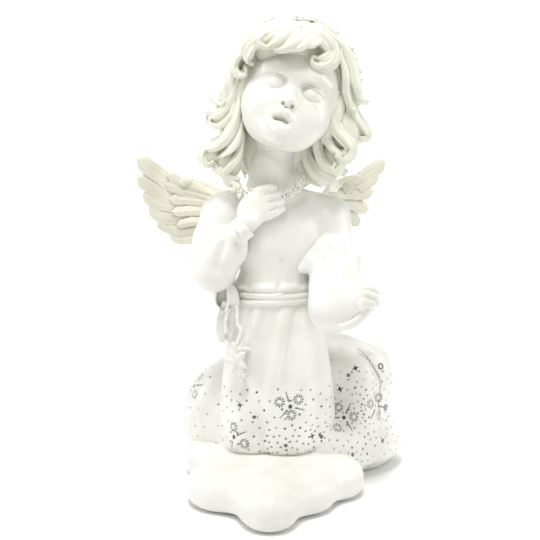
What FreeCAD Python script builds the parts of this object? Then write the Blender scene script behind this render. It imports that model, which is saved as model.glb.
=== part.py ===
"""Resin angel figurine, 200 mm tall, kneeling upright on a cloud base. Units are millimetres.

Frame: +Z up, the figure faces -Y, +X is the figure's left-hand side. The origin is on the underside of
the felt, directly below the trunk. Every casting, glued-on ornament and pad is one node. Where two
pieces meet, the later one is cut back to the earlier one, so the glue faces match and nothing overlaps.
"""
import FreeCAD
import Part
import math
import os

Vec = FreeCAD.Vector

# ---- driving dimensions ----
FELT_THICKNESS = 1.0
CLOUD_THICKNESS = 14.0
CLOUD_TOP_ROUND = 6.0
CLOUD_FOOT_ROUND = 3.5
FELT_INSET = 4.0
WAIST_Z = 86.0
JOINT_SWELL = 1.05
CRUMB_VOLUME = 0.05
TRAIN_SHOULDER_Z = 48.0
TRAIN_TOP_Z = 79.0
NECK_RADIUS = 8.6
HEAD_RADIUS = 18.5
WING_THICKNESS = 3.2
WING_PEG_RADIUS = 2.6
WING_PEG_LENGTH = 9.0
SASH_FOOT_Z = 79.5
SASH_TOP_Z = 86.5
SASH_PROUD = 1.8
RIBBON_THICKNESS = 1.6
BLOSSOM_RADIUS = 1.8
CROWN_BLOSSOM_RADIUS = 2.5
CRYSTAL_RADIUS = 1.0
CRYSTAL_DEPTH = 1.6

CLOUD_TOP_Z = FELT_THICKNESS + CLOUD_THICKNESS

# Cloud lobes: centre x, centre y, radius.
CLOUD_LOBES = [
    (0.3, -47.0, 11.0),
    (-1.0, -32.0, 15.0),
    (-17.2, -21.5, 17.0),
    (12.0, -27.0, 14.5),
    (25.5, -12.0, 14.0),
    (-21.0, 13.0, 16.5),
    (25.0, 17.0, 18.0),
    (-12.0, 33.0, 18.0),
    (12.0, 34.0, 17.0),
    (2.0, 2.0, 27.0),
]

# Trunk sections: height, centre x, centre y, half width, half depth.
SKIRT_SECTIONS = [
    (CLOUD_TOP_Z, 3.5, 8.0, 25.5, 16.5),
    (26.0, 3.5, 7.5, 26.0, 17.5),
    (42.0, 3.0, 6.5, 24.5, 16.5),
    (60.0, 2.5, 5.5, 22.0, 15.0),
    (76.0, 2.0, 4.5, 18.8, 13.2),
    (WAIST_Z, 1.5, 4.0, 17.0, 12.5),
]
BODICE_SECTIONS = [
    (WAIST_Z, 1.5, 4.0, 17.0, 12.5),
    (96.0, 2.0, 4.0, 17.6, 12.8),
    (107.0, 3.5, 4.0, 20.0, 13.5),
    (115.0, 4.5, 4.5, 21.5, 12.8),
    (121.0, 4.0, 5.0, 17.0, 10.8),
    (126.0, 0.5, 4.5, 10.5, 9.0),
]
TRAIN_SECTIONS = [
    (FELT_THICKNESS, 10.5, 30.0, 48.0, 26.5),
    (8.0, 10.5, 30.0, 51.0, 28.5),
    (24.0, 10.5, 29.0, 50.5, 27.0),
    (38.0, 10.5, 27.0, 47.5, 24.0),
    (TRAIN_SHOULDER_Z, 9.5, 24.0, 41.0, 20.5),
    (56.0, 7.0, 19.5, 30.0, 17.0),
    (66.0, 4.0, 14.0, 21.5, 14.0),
    (TRAIN_TOP_Z, 2.2, 7.0, 17.2, 11.5),
]


# ---- shape helpers ----
def closed_section(z, cx, cy, half_width, half_depth, folds=0, fold_depth=0.0, points=36):
    """A closed smooth curve at height z: an ellipse, rippled where the cloth folds."""
    curve_points = []
    for i in range(points):
        angle = 2 * math.pi * i / points
        ripple = 1 + fold_depth * math.cos(folds * angle)
        x = cx + half_width * ripple * math.cos(angle)
        y = cy + half_depth * ripple * math.sin(angle)
        curve_points.append(Vec(x, y, z))
    curve = Part.BSplineCurve()
    curve.interpolate(Points=curve_points, PeriodicFlag=True)
    return Part.Wire(curve.toShape())


def trunk(sections, folds=0, fold_depth=0.0):
    """A solid lofted through horizontal sections."""
    wires = [closed_section(*s, folds=folds, fold_depth=fold_depth) for s in sections]
    return Part.makeLoft(wires, True, False)


def ball(centre, radius):
    return Part.makeSphere(radius, Vec(*centre))


def ellipsoid(centre, radii, turn_axis=(0, 0, 1), turn_deg=0.0):
    """A sphere stretched to three radii, turned about its centre."""
    stretch = FreeCAD.Matrix()
    stretch.scale(*radii)
    shape = Part.makeSphere(1.0).transformGeometry(stretch)
    shape.rotate(Vec(0, 0, 0), Vec(*turn_axis), turn_deg)
    shape.translate(Vec(*centre))
    return shape


def limb(path):
    """Tapered rods with slightly larger ball joints. path holds (x, y, z, radius) points."""
    pieces = [ball(p[:3], p[3] * JOINT_SWELL) for p in path]
    for a, b in zip(path, path[1:]):
        run = Vec(*b[:3]) - Vec(*a[:3])
        if abs(a[3] - b[3]) < 1e-6:
            pieces.append(Part.makeCylinder(a[3], run.Length, Vec(*a[:3]), run))
        else:
            pieces.append(Part.makeCone(a[3], b[3], run.Length, Vec(*a[:3]), run))
    return fused(pieces)


def fused(shapes):
    if len(shapes) == 1:
        return shapes[0]
    return shapes[0].multiFuse(shapes[1:])


def solids_over(shape, smallest):
    """The solids of a shape that are larger than a volume, as one compound. Trims cutting crumbs."""
    kept = [s for s in shape.Solids if s.Volume > smallest]
    return kept[0] if len(kept) == 1 else Part.makeCompound(kept)


def cut_by(shape, *tools):
    """The shape less each tool that comes near it."""
    for tool in tools:
        if shape.Solids and shape.BoundBox.intersect(tool.BoundBox):
            shape = solids_over(shape.cut(tool), CRUMB_VOLUME)
    return shape


# ---- base ----
def make_felt():
    """One felt sheet under the cloud, set in from its edge."""
    return fused([Part.makeCylinder(r - FELT_INSET, FELT_THICKNESS, Vec(x, y, 0)) for x, y, r in CLOUD_LOBES])


def make_cloud():
    """Round-edged lobes run together into one slab."""
    lobes = []
    for x, y, r in CLOUD_LOBES:
        disc = Part.makeCylinder(r, CLOUD_THICKNESS, Vec(x, y, FELT_THICKNESS))
        rims = [e for e in disc.Edges if isinstance(e.Curve, Part.Circle)]
        top = [e for e in rims if e.BoundBox.ZMin > CLOUD_TOP_Z - 0.1]
        disc = disc.makeFillet(CLOUD_TOP_ROUND, top)
        foot = [e for e in disc.Edges if e.BoundBox.ZMax < FELT_THICKNESS + 0.1 and isinstance(e.Curve, Part.Circle)]
        lobes.append(disc.makeFillet(CLOUD_FOOT_ROUND, foot))
    return fused(lobes)


# ---- gown ----
def make_train(skirt, cloud):
    """The gown's back, spread behind the knees, with the rolled fold at the figure's left."""
    drum = trunk(TRAIN_SECTIONS)
    roll = limb([(27, 3, 21, 9.0), (41, 5, 15, 11.5), (50, 17, 14, 12.0)])
    return solids_over(cut_by(drum.fuse(roll), skirt, cloud), 50.0)


def make_sash(skirt, bodice):
    """A flat wrapped band round the waist."""
    levels = [
        (SASH_FOOT_Z, 1.8, 4.3, 18.0, 13.2, 0.3),
        (SASH_FOOT_Z + 1.2, 1.8, 4.3, 17.8, 13.0, SASH_PROUD),
        (SASH_TOP_Z - 1.2, 1.6, 4.0, 17.1, 12.6, SASH_PROUD),
        (SASH_TOP_Z, 1.6, 4.0, 17.1, 12.6, 0.4),
    ]
    band = Part.makeLoft([closed_section(z, x, y, a + p, b + p) for z, x, y, a, b, p in levels], True, True)
    return cut_by(band, skirt, bodice)


KNOT = (-14.5, -5.0, 85.0)
ROSE = (-11.0, -9.6, 50.4)


def make_knot():
    """Knot and two bow loops on the figure's right hip."""
    return fused([
        ellipsoid(KNOT, (3.4, 3.0, 3.6)),
        ellipsoid((KNOT[0] - 4.2, KNOT[1] + 1.6, KNOT[2] - 3.0), (2.6, 1.9, 5.6), (0, 1, 0), 18),
        ellipsoid((KNOT[0] + 3.8, KNOT[1] - 1.0, KNOT[2] - 2.4), (2.0, 1.7, 4.0), (0, 1, 0), -25),
    ])


def make_tail(outline, y):
    """One ribbon end: a flat strip with a slanted end, hanging from the knot."""
    points = [Vec(x, y, z) for x, z in outline]
    face = Part.Face(Part.makePolygon(points + points[:1]))
    return face.extrude(Vec(0, -RIBBON_THICKNESS, 0))


def make_tails():
    left = [(-20.5, 83), (-16.4, 83), (-15.2, 74), (-17.0, 66), (-21.2, 64.5), (-19.8, 73)]
    right = [(-13.6, 83), (-10.2, 83), (-9.4, 73), (-9.0, 69), (-12.2, 67.5), (-12.8, 75)]
    return [make_tail(left, -2.6), make_tail(right, -6.2)]


def make_beads():
    """A string of beads from the knot to the stars, touching one another."""
    count, radius = 11, 0.85
    top, foot = Vec(-15.6, -8.2, 80.0), Vec(-13.6, -8.6, 66.5)
    beads = []
    for i in range(count):
        share = i / (count - 1)
        sway = 0.8 * math.sin(share * math.pi * 2)
        centre = top + (foot - top) * share + Vec(sway, 0, 0)
        beads.append(Part.makeSphere(radius, centre))
    return beads


def make_star(centre, tip_radius, thickness, turn_deg, lean_deg):
    """A five-pointed star with a raised middle, flat at the back."""
    x, y, z = centre
    points = []
    for i in range(10):
        radius = tip_radius if i % 2 == 0 else tip_radius * 0.45
        angle = math.radians(90 + turn_deg + 36 * i)
        points.append(Vec(x + radius * math.cos(angle), y, z + radius * math.sin(angle)))
    star = Part.Face(Part.makePolygon(points + points[:1])).extrude(Vec(0, -thickness, 0))
    star.rotate(Vec(x, y, z), Vec(0, 0, 1), lean_deg)
    return star


def make_stars():
    """Two star charms, one tucked behind the other."""
    front = make_star((-14.4, -8.2, 57.0), 6.0, 1.8, 8, 0)
    back = make_star((-12.4, -6.8, 61.4), 4.4, 1.6, -20, -6)
    return [front, cut_by(back, front)]


def make_rose():
    """A small rosebud charm: a round heart in a collar of petals."""
    x, y, z = ROSE
    petals = [ball((x + 1.5 * math.cos(a), y, z + 1.9 * math.sin(a)), 1.7) for a in (0.5, 1.9, 3.4, 5.0)]
    return fused([ball((x, y - 0.6, z), 2.3), *petals])


# ---- arms ----
RIGHT_SHOULDER, RIGHT_ELBOW, RIGHT_WRIST = (-17.0, 4.5, 115.0), (-24.0, -3.0, 95.0), (-11.0, -13.5, 113.0)
LEFT_SHOULDER, LEFT_ELBOW, LEFT_WRIST = (26.0, 5.5, 113.0), (27.0, -1.0, 95.0), (35.0, -21.0, 84.0)


def towards(a, b, share):
    return tuple(p + (q - p) * share for p, q in zip(a, b))


def make_right_sleeve():
    """Full sleeve: down to the elbow, then up across the chest to the wrist."""
    return limb([
        (*RIGHT_SHOULDER, 10.0),
        (*towards(RIGHT_SHOULDER, RIGHT_ELBOW, 0.6), 10.5),
        (*RIGHT_ELBOW, 10.8),
        (*towards(RIGHT_ELBOW, RIGHT_WRIST, 0.8), 6.4),
    ])


def make_left_sleeve():
    """Upper sleeve to the elbow, then a wide bell that hangs below the forearm."""
    upper = limb([(*LEFT_SHOULDER, 9.0), (*LEFT_ELBOW, 9.2)])
    bell = limb([(*LEFT_ELBOW, 9.2), (26.0, -10.0, 85.0, 10.6), (29.5, -16.0, 81.5, 10.0)])
    return upper.fuse(bell)


def make_cuff(wrist, elbow, radius, length, offset):
    """A rounded band round the wrist, square to the forearm."""
    axis = Vec(*wrist) - Vec(*elbow)
    axis.normalize()
    start = Vec(*wrist) + axis * offset
    ring = Part.makeCylinder(radius, length, start, axis)
    rims = [e for e in ring.Edges if isinstance(e.Curve, Part.Circle)]
    return ring.makeFillet(length * 0.4, rims)


def make_hand(wrist, palm, palm_radii, palm_turn, fingers):
    """Palm, wrist and five fingers. Each finger is a path of (x, y, z, radius)."""
    parts = [limb([(*wrist, 4.0), (*palm, 4.2)]), ellipsoid(palm, palm_radii, (0, 1, 0), palm_turn)]
    return fused(parts + [limb(f) for f in fingers])


def make_right_hand():
    """Laid flat on the chest, fingers pointing to the figure's left."""
    fingers = []
    for i in range(4):
        base = (-3.0 + 0.2 * i, -10.4, 126.0 - 3.0 * i)
        tip = (3.4 + 1.1 * i, -8.6 - 0.3 * i, 127.0 - 3.4 * i)
        fingers.append([(*base, 1.9), (*towards(base, tip, 0.55), 1.75), (*tip, 1.35)])
    fingers.append([(-8.5, -11.0, 121.5, 2.0), (-7.0, -10.0, 125.5, 1.8), (-4.5, -9.4, 129.0, 1.4)])
    return make_hand(RIGHT_WRIST, (-5.6, -10.8, 119.8), (5.6, 3.0, 6.2), -35, fingers)


def make_left_hand():
    """Held out, palm up, fingers curled."""
    fingers = []
    for i in range(4):
        x = 36.0 + 2.2 * i
        y = -31.6 + 1.9 * i
        fingers.append([(x, y + 3.0, 84.4, 1.9), (x + 1.6, y - 1.4, 86.8, 1.8), (x + 1.4, y - 1.6, 90.4, 1.4)])
    fingers.append([(34.0, -26.0, 86.0, 2.0), (33.0, -29.0, 88.0, 1.8), (34.0, -31.5, 90.6, 1.4)])
    return make_hand(LEFT_WRIST, (37.5, -26.0, 84.0), (5.4, 5.6, 3.0), 0, fingers)


# ---- head ----
HEAD_CENTRE = (7.2, -2.8, 163.4)
HEAD_ROLL = 17
NECK_FOOT = (-1.0, 4.0, 124.0)
CROWN_RADIUS = 26.5
CROWN_CENTRE = (8.0, 4.0, 170.0)


def make_head(bodice):
    """Face and skull on the neck, turned up and tilted to the figure's left."""
    face = ellipsoid(HEAD_CENTRE, (HEAD_RADIUS, 19.0, 21.0), (0, 1, 0), HEAD_ROLL)
    chin = ellipsoid((4.4, -13.0, 148.6), (6.6, 6.0, 5.4), (0, 1, 0), HEAD_ROLL)
    nose = ball((7.6, -21.6, 161.0), 2.4)
    neck = limb([(*NECK_FOOT, NECK_RADIUS + 0.8), (3.0, 1.5, 152.0, NECK_RADIUS)])
    return solids_over(fused([face, chin, nose, neck]).cut(bodice), 100.0)


def make_hair_cap(head):
    """The mass of hair over the crown and down the back, open over the face."""
    cap = ellipsoid((8.0, 4.0, 171.5), (24.5, 21.5, 25.5), (0, 1, 0), 12)
    back = ellipsoid((5.5, 9.5, 149.0), (23.0, 12.0, 26.0), (0, 1, 0), 6)
    window = ellipsoid((4.5, -24.0, 156.0), (19.0, 22.0, 23.0), (0, 1, 0), 14)
    nape = ellipsoid((1.0, -14.0, 133.0), (17.0, 21.0, 17.0))
    return cut_by(cap.fuse(back), window, nape, head)


def make_right_curls():
    """Curled locks at the figure's right: beside the cheek and on the shoulder."""
    return fused([
        limb([(-13, 2, 176, 6.0), (-17, 1, 166, 6.0), (-20, 2, 156, 5.6), (-20, 0, 146, 5.0), (-17, -2, 138, 4.2)]),
        limb([(-18, 6, 164, 5.0), (-24, 5, 158, 4.2), (-26, 3, 152, 3.0)]),
        limb([(-18, 6, 150, 5.4), (-23, 4, 142, 4.6), (-25, 1, 136, 3.4)]),
        limb([(-16, 4, 140, 5.2), (-17, 2, 132, 4.6), (-14, -1, 126.5, 3.4)]),
    ])


def make_left_curls():
    """Curled locks at the figure's left."""
    return fused([
        limb([(29, 0, 176, 6.2), (32, 0, 166, 6.4), (34, 2, 156, 6.0), (31, 0, 146, 5.6), (29, 0, 137, 4.8)]),
        limb([(33, 6, 168, 5.4), (38, 5, 160, 4.6), (41, 3, 154, 3.2)]),
        limb([(30, 6, 152, 6.0), (34, 4, 143, 5.0), (35, 2, 136, 3.6)]),
        limb([(22, 2, 144, 6.4), (22, -1, 134, 6.0), (25, -1, 127, 4.4)]),
    ])


def make_fringe():
    """Swept locks over the forehead."""
    return fused([
        limb([(12, -6, 190, 4.6), (4, -14, 187.5, 4.4), (-5, -16, 183, 3.8), (-11, -12, 178, 3.2)]),
        limb([(13, -8, 189, 4.6), (8, -16, 184, 4.2), (1, -19.5, 180, 3.2)]),
        limb([(15, -8, 188, 4.8), (20, -14, 183, 4.4), (23, -16, 176, 3.8), (20, -18.5, 172, 3.0)]),
        limb([(20, -6, 187, 4.8), (27, -10, 180, 4.4), (30, -11, 172, 4.0)]),
    ])


def make_crown():
    """A wreath of small blossoms over the head from temple to temple."""
    count = 19
    blossoms = []
    for i in range(count):
        angle = math.radians(-12 + 204 * i / (count - 1))
        x = CROWN_CENTRE[0] + CROWN_RADIUS * math.cos(angle) + 4.0 * math.sin(angle)
        z = CROWN_CENTRE[2] + CROWN_RADIUS * math.sin(angle)
        blossoms.append(ball((x, CROWN_CENTRE[1], z), CROWN_BLOSSOM_RADIUS))
    return blossoms


def make_necklace():
    """A garland of blossoms round the base of the neck."""
    count = 22
    blossoms = []
    for i in range(count):
        angle = 2 * math.pi * i / count
        x = -0.5 + 13.6 * math.cos(angle)
        y = 3.5 + 12.4 * math.sin(angle)
        z = 123.2 + 2.8 * math.sin(angle) + 1.2 * math.cos(angle)
        blossoms.append(ball((x, y, z), BLOSSOM_RADIUS))
    return blossoms


# ---- wings ----
def make_wing(side, root, peg_at, size, swing_deg):
    """A wing as a flat blade with five feather tips on its outer edge, and a peg for the back.

    The outline is drawn in the blade's own plane, span along +u and height along v, then swung back.
    side is -1 for the figure's right wing and +1 for its left.
    """
    arcs = [
        ((0.0, 8.0), (14.0, 15.5), (31.0, 22.0)),
        ((31.0, 22.0), (42.0, 28.5), (50.0, 32.5)),
        ((50.0, 32.5), (49.5, 24.0), (45.5, 17.0)),
        ((45.5, 17.0), (44.5, 9.5), (40.5, 3.0)),
        ((40.5, 3.0), (38.0, -4.0), (33.0, -9.0)),
        ((33.0, -9.0), (29.0, -14.5), (23.5, -16.5)),
        ((23.5, -16.5), (17.0, -15.5), (12.0, -10.0)),
        ((12.0, -10.0), (6.0, -5.0), (0.0, -4.0)),
    ]
    edges = [Part.Arc(*[Vec(u * side * size, 0, v * size) for u, v in arc]).toShape() for arc in arcs]
    edges.append(Part.LineSegment(Vec(0, 0, -4.0 * size), Vec(0, 0, 8.0 * size)).toShape())
    blade = Part.Face(Part.Wire(edges)).extrude(Vec(0, WING_THICKNESS, 0))
    blade.rotate(Vec(0, 0, 0), Vec(0, 0, 1), side * swing_deg)
    blade.translate(Vec(*root))
    peg_axis = Vec(*peg_at) - Vec(*root)
    peg_axis.normalize()
    seat = Vec(*root) + Vec(2.5 * side, 2.2, 1.5)
    peg = Part.makeCylinder(WING_PEG_RADIUS, WING_PEG_LENGTH, seat, peg_axis)
    boss = Part.makeSphere(4.6, seat)
    return fused([blade, boss, peg])


# ---- crystals ----
CRYSTALS = [(9.2, 37.3), (-13.4, 22.6), (-5.9, 32.2), (7.2, 20.5), (21.4, 23.4)]


def skirt_front(x, z):
    """A point on the skirt's front at (x, z), with the outward direction there, from the sections."""
    low, high = next(pair for pair in zip(SKIRT_SECTIONS, SKIRT_SECTIONS[1:]) if pair[1][0] >= z)
    share = (z - low[0]) / (high[0] - low[0])
    cx, cy, a, b = (p + (q - p) * share for p, q in zip(low[1:], high[1:]))
    run = (x - cx) / a
    y = cy - b * math.sqrt(1 - run * run)
    outward = Vec((x - cx) / (a * a), (y - cy) / (b * b), 0)
    outward.normalize()
    return Vec(x, y, z), outward


def make_crystals():
    """Small flat-backed crystals, half sunk in the skirt."""
    crystals = []
    for x, z in CRYSTALS:
        seat, outward = skirt_front(x, z)
        crystals.append(Part.makeCylinder(CRYSTAL_RADIUS, CRYSTAL_DEPTH, seat - outward * CRYSTAL_DEPTH * 0.6, outward))
    return crystals


def main():
    skirt = trunk(SKIRT_SECTIONS, folds=9, fold_depth=0.018)
    bodice = trunk(BODICE_SECTIONS)
    cloud = make_cloud()
    right_wing = make_wing(-1, (-11.0, 20.0, 112.0), (-7.0, 8.0, 112.0), 1.0, 16)
    left_wing = make_wing(1, (13.0, 20.0, 112.0), (11.0, 8.0, 112.0), 0.92, 30)
    pegs_seat = right_wing.common(bodice).fuse(left_wing.common(bodice))

    right_sleeve = solids_over(make_right_sleeve().cut(bodice), 100.0)
    left_sleeve = solids_over(cut_by(make_left_sleeve(), bodice, skirt), 100.0)
    right_cuff = make_cuff(RIGHT_WRIST, RIGHT_ELBOW, 5.8, 5.0, -2.4)
    left_cuff = make_cuff(LEFT_WRIST, (29.0, -13.0, 84.0), 7.6, 4.0, -3.0)
    right_hand = make_right_hand()
    left_hand = make_left_hand()
    head = make_head(bodice)
    cap = make_hair_cap(head)
    right_curls = make_right_curls()
    left_curls = make_left_curls()
    fringe = make_fringe()
    sash = make_sash(skirt, bodice)
    knot = cut_by(make_knot(), sash, skirt, bodice, right_sleeve)

    body = bodice.cut(pegs_seat)
    right_cuff = cut_by(right_cuff, right_sleeve, bodice)
    left_cuff = cut_by(left_cuff, left_sleeve)
    right_hand = cut_by(right_hand, bodice, right_cuff, right_sleeve)
    left_hand = cut_by(left_hand, left_cuff, left_sleeve)
    cap = cut_by(cap, bodice, right_sleeve, left_sleeve)
    right_curls = cut_by(right_curls, cap, head, bodice, right_sleeve)
    left_curls = cut_by(left_curls, cap, head, bodice, left_sleeve)
    fringe = cut_by(fringe, cap, head, left_curls, right_curls)
    train = make_train(skirt, cloud)
    crystals = make_crystals()
    tails = [cut_by(t, skirt, knot, sash) for t in make_tails()]
    stars = [cut_by(s, skirt, *tails) for s in make_stars()]
    rose = cut_by(make_rose(), skirt, *stars)
    beads = [cut_by(b, skirt, knot, *tails) for b in make_beads()]
    crown = [cut_by(b, cap, head, fringe, right_curls, left_curls) for b in make_crown()]
    necklace = [cut_by(b, bodice, head, right_hand, right_curls, left_curls, cap) for b in make_necklace()]
    wing_neighbours = (bodice, right_sleeve, left_sleeve, cap, right_curls, left_curls)
    right_wing = solids_over(cut_by(right_wing, *wing_neighbours[1:]), 100.0)
    left_wing = solids_over(cut_by(left_wing, *wing_neighbours[1:]), 100.0)

    nodes = {
        "felt_pad": (make_felt(), 1),
        "cloud_base": (cloud, 1),
        "gown_skirt": (cut_by(skirt, *crystals), 1),
        "gown_train": (train, 50),
        "bodice": (body, 100),
        "waist_sash": (sash, 5),
        "sash_knot": (knot, 2),
        "sash_tails": (Part.makeCompound(tails), 1),
        "bead_string": (Part.makeCompound(beads), 0.1),
        "star_charms": (Part.makeCompound(stars), 0.5),
        "rose_charm": (rose, 1),
        "skirt_crystals": (Part.makeCompound(crystals), 0.1),
        "right_sleeve": (right_sleeve, 100),
        "right_cuff": (right_cuff, 2),
        "right_hand": (right_hand, 5),
        "left_sleeve": (left_sleeve, 100),
        "left_cuff": (left_cuff, 2),
        "left_hand": (left_hand, 5),
        "head": (head, 100),
        "hair_cap": (cap, 50),
        "hair_fringe": (fringe, 5),
        "right_curls": (right_curls, 5),
        "left_curls": (left_curls, 5),
        "flower_crown": (Part.makeCompound(crown), 1),
        "necklace": (Part.makeCompound(necklace), 0.5),
        "right_wing": (right_wing, 100),
        "left_wing": (left_wing, 100),
    }
    os.makedirs("parts", exist_ok=True)
    for name, (shape, smallest) in nodes.items():
        kept = solids_over(shape, smallest)
        box = kept.BoundBox
        print(f"{name:14s} solids {len(kept.Solids):3d} valid {kept.isValid()} volume {kept.Volume:9.1f}"
              f" x {box.XMin:6.1f} {box.XMax:6.1f} y {box.YMin:6.1f} {box.YMax:6.1f} z {box.ZMin:6.1f} {box.ZMax:6.1f}")
        kept.exportStep(f"parts/{name}.step")


main()
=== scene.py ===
"""The look of a kneeling angel figurine.

Lengths are millimetres in the CAD frame until a mesh is made: +Z up, the figure faces -Y, and its left
hand is at +X. The cloud, bodice, sleeves, hands and head are distance fields on a grid. The gown is lofted,
and the sash, cuffs, hair, wings and ornaments are swept or oval shells melted into one skin each.
"""
import math
from collections import namedtuple

import bpy
import numpy as np
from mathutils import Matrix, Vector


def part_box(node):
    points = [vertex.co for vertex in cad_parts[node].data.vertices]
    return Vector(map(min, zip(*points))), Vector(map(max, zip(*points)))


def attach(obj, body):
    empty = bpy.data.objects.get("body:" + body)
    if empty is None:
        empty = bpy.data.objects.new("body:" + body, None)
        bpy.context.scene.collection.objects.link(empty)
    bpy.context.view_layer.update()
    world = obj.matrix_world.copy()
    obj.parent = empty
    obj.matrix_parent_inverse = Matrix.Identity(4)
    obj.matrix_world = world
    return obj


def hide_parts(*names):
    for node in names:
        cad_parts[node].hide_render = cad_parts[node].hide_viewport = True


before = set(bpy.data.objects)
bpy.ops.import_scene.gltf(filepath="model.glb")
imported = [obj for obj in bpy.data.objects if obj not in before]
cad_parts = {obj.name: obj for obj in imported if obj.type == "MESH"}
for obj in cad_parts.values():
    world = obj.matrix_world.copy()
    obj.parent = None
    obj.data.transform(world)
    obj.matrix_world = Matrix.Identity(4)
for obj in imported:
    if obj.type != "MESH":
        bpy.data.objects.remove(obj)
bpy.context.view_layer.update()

import openvdb
from mathutils import Vector
from mathutils.kdtree import KDTree

MM = 0.001
FAR = 6.0  # a distance field's value away from every form
RNG = np.random.default_rng(11)


# ---------------------------------------------------------------- places read from the frame
def cad_box(node):
    """Lowest and highest corners of a CAD node, in millimetres."""
    low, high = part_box(node)
    return np.array(low) / MM, np.array(high) / MM


CLOUD_LOW, CLOUD_HIGH = cad_box("cloud_base")
CLOUD_TOP = CLOUD_HIGH[2]
FELT_TOP = CLOUD_LOW[2]
WAIST = cad_box("waist_sash")[1][2]


# ---------------------------------------------------------------- small maths
def unit(v):
    v = np.asarray(v, float)
    return v / max(np.linalg.norm(v), 1e-9)


def unit_rows(v):
    return v / np.maximum(np.linalg.norm(v, axis=1, keepdims=True), 1e-9)


def circle(count):
    """Angles evenly round a turn."""
    return np.arange(count) * 2 * math.pi / count


def smoothstep(a, b, x):
    t = np.clip((x - a) / (b - a), 0.0, 1.0)
    return t * t * (3.0 - 2.0 * t)


def bump(x, centre, width):
    """A rounded hill, 1 at centre."""
    return np.exp(-(((x - centre) / width) ** 2))


def curve_at(points, t):
    """Catmull-Rom through points of any width. t counts the points passed."""
    p = np.asarray(points, float)
    p = np.vstack([2 * p[0] - p[1], p, 2 * p[-1] - p[-2]])
    i = np.minimum(t.astype(int), len(p) - 4)
    u = (t - i)[:, None]
    a, b, c, d = p[i], p[i + 1], p[i + 2], p[i + 3]
    return 0.5 * (2 * b + (c - a) * u + (2 * a - 5 * b + 4 * c - d) * u**2 + (3 * b - a - 3 * c + d) * u**3)


def curve(points, count):
    return curve_at(points, np.linspace(0, len(points) - 1, count))


def evenly(points, count):
    """Places at even distances along the curve through points."""
    path = curve(points, 200)
    gone = np.concatenate([[0], np.cumsum(np.linalg.norm(np.diff(path, axis=0), axis=1))])
    return path[np.searchsorted(gone, np.linspace(0, gone[-1] * 0.999, count))]


def rotation(axis, degrees):
    """3x3 rotation about an axis."""
    x, y, z = unit(axis)
    a = math.radians(degrees)
    k = np.array([[0, -z, y], [z, 0, -x], [-y, x, 0]])
    return np.eye(3) + math.sin(a) * k + (1 - math.cos(a)) * (k @ k)


# ---------------------------------------------------------------- clay: distance fields
# A distance function with the corners of the box that holds it.
Form = namedtuple("Form", "low high distance")


def egg(centre, radii, turn=None):
    """An ellipsoid. turn's columns are its own axes."""
    c, r = np.asarray(centre, float), np.asarray(radii, float)
    m = np.eye(3) if turn is None else np.asarray(turn, float)
    reach = np.sqrt(((m * r) ** 2).sum(1))

    def distance(x, y, z):
        dx, dy, dz = x - c[0], y - c[1], z - c[2]
        a, b, d = (m[0, i] * dx + m[1, i] * dy + m[2, i] * dz for i in range(3))
        k0 = np.sqrt((a / r[0])**2 + (b / r[1])**2 + (d / r[2])**2)
        k1 = np.sqrt((a / r[0]**2)**2 + (b / r[1]**2)**2 + (d / r[2]**2)**2)
        return k0 * (k0 - 1.0) / np.maximum(k1, 1e-6)

    return Form(c - reach, c + reach, distance)


def rod(path, blend=0.0):
    """A chain of tapered rods. path holds (x, y, z, radius)."""
    p = np.asarray(path, float)
    low = (p[:, :3] - p[:, 3:]).min(0) - blend
    high = (p[:, :3] + p[:, 3:]).max(0) + blend

    def distance(x, y, z):
        best = None
        for a, b in zip(p, p[1:]):
            run = b[:3] - a[:3]
            dx, dy, dz = x - a[0], y - a[1], z - a[2]
            t = np.clip((dx * run[0] + dy * run[1] + dz * run[2]) / max(run @ run, 1e-9), 0, 1)
            d = np.sqrt((dx - t * run[0])**2 + (dy - t * run[1])**2 + (dz - t * run[2])**2)
            d = d - (a[3] + (b[3] - a[3]) * t)
            best = d if best is None else soft_min(best, d, blend)
        return best

    return Form(low, high, distance)


def crease(points, radius, count=14):
    """A thin curved rod of constant radius that fades at its ends, for folds and creases."""
    line = curve(points, count)
    fade = np.sin(np.linspace(0.12, math.pi - 0.12, count)) ** 0.5
    return rod(np.column_stack([line, radius * fade]))


def hoop_form(centre, a, b, radius):
    """A ring of round section lying level."""
    c = np.asarray(centre, float)
    reach = np.array([a + radius, b + radius, radius])

    def distance(x, y, z):
        dx, dy = x - c[0], y - c[1]
        k = np.sqrt((dx / a) ** 2 + (dy / b) ** 2)
        flat = (k - 1) * np.sqrt(dx**2 + dy**2) / np.maximum(k, 1e-3)
        return np.sqrt(flat**2 + (z - c[2])**2) - radius

    return Form(c - reach, c + reach, distance)


def soft_min(a, b, k):
    if k <= 0:
        return np.minimum(a, b)
    h = np.maximum(k - np.abs(a - b), 0.0) / k
    return np.minimum(a, b) - h * h * k * 0.25


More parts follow.
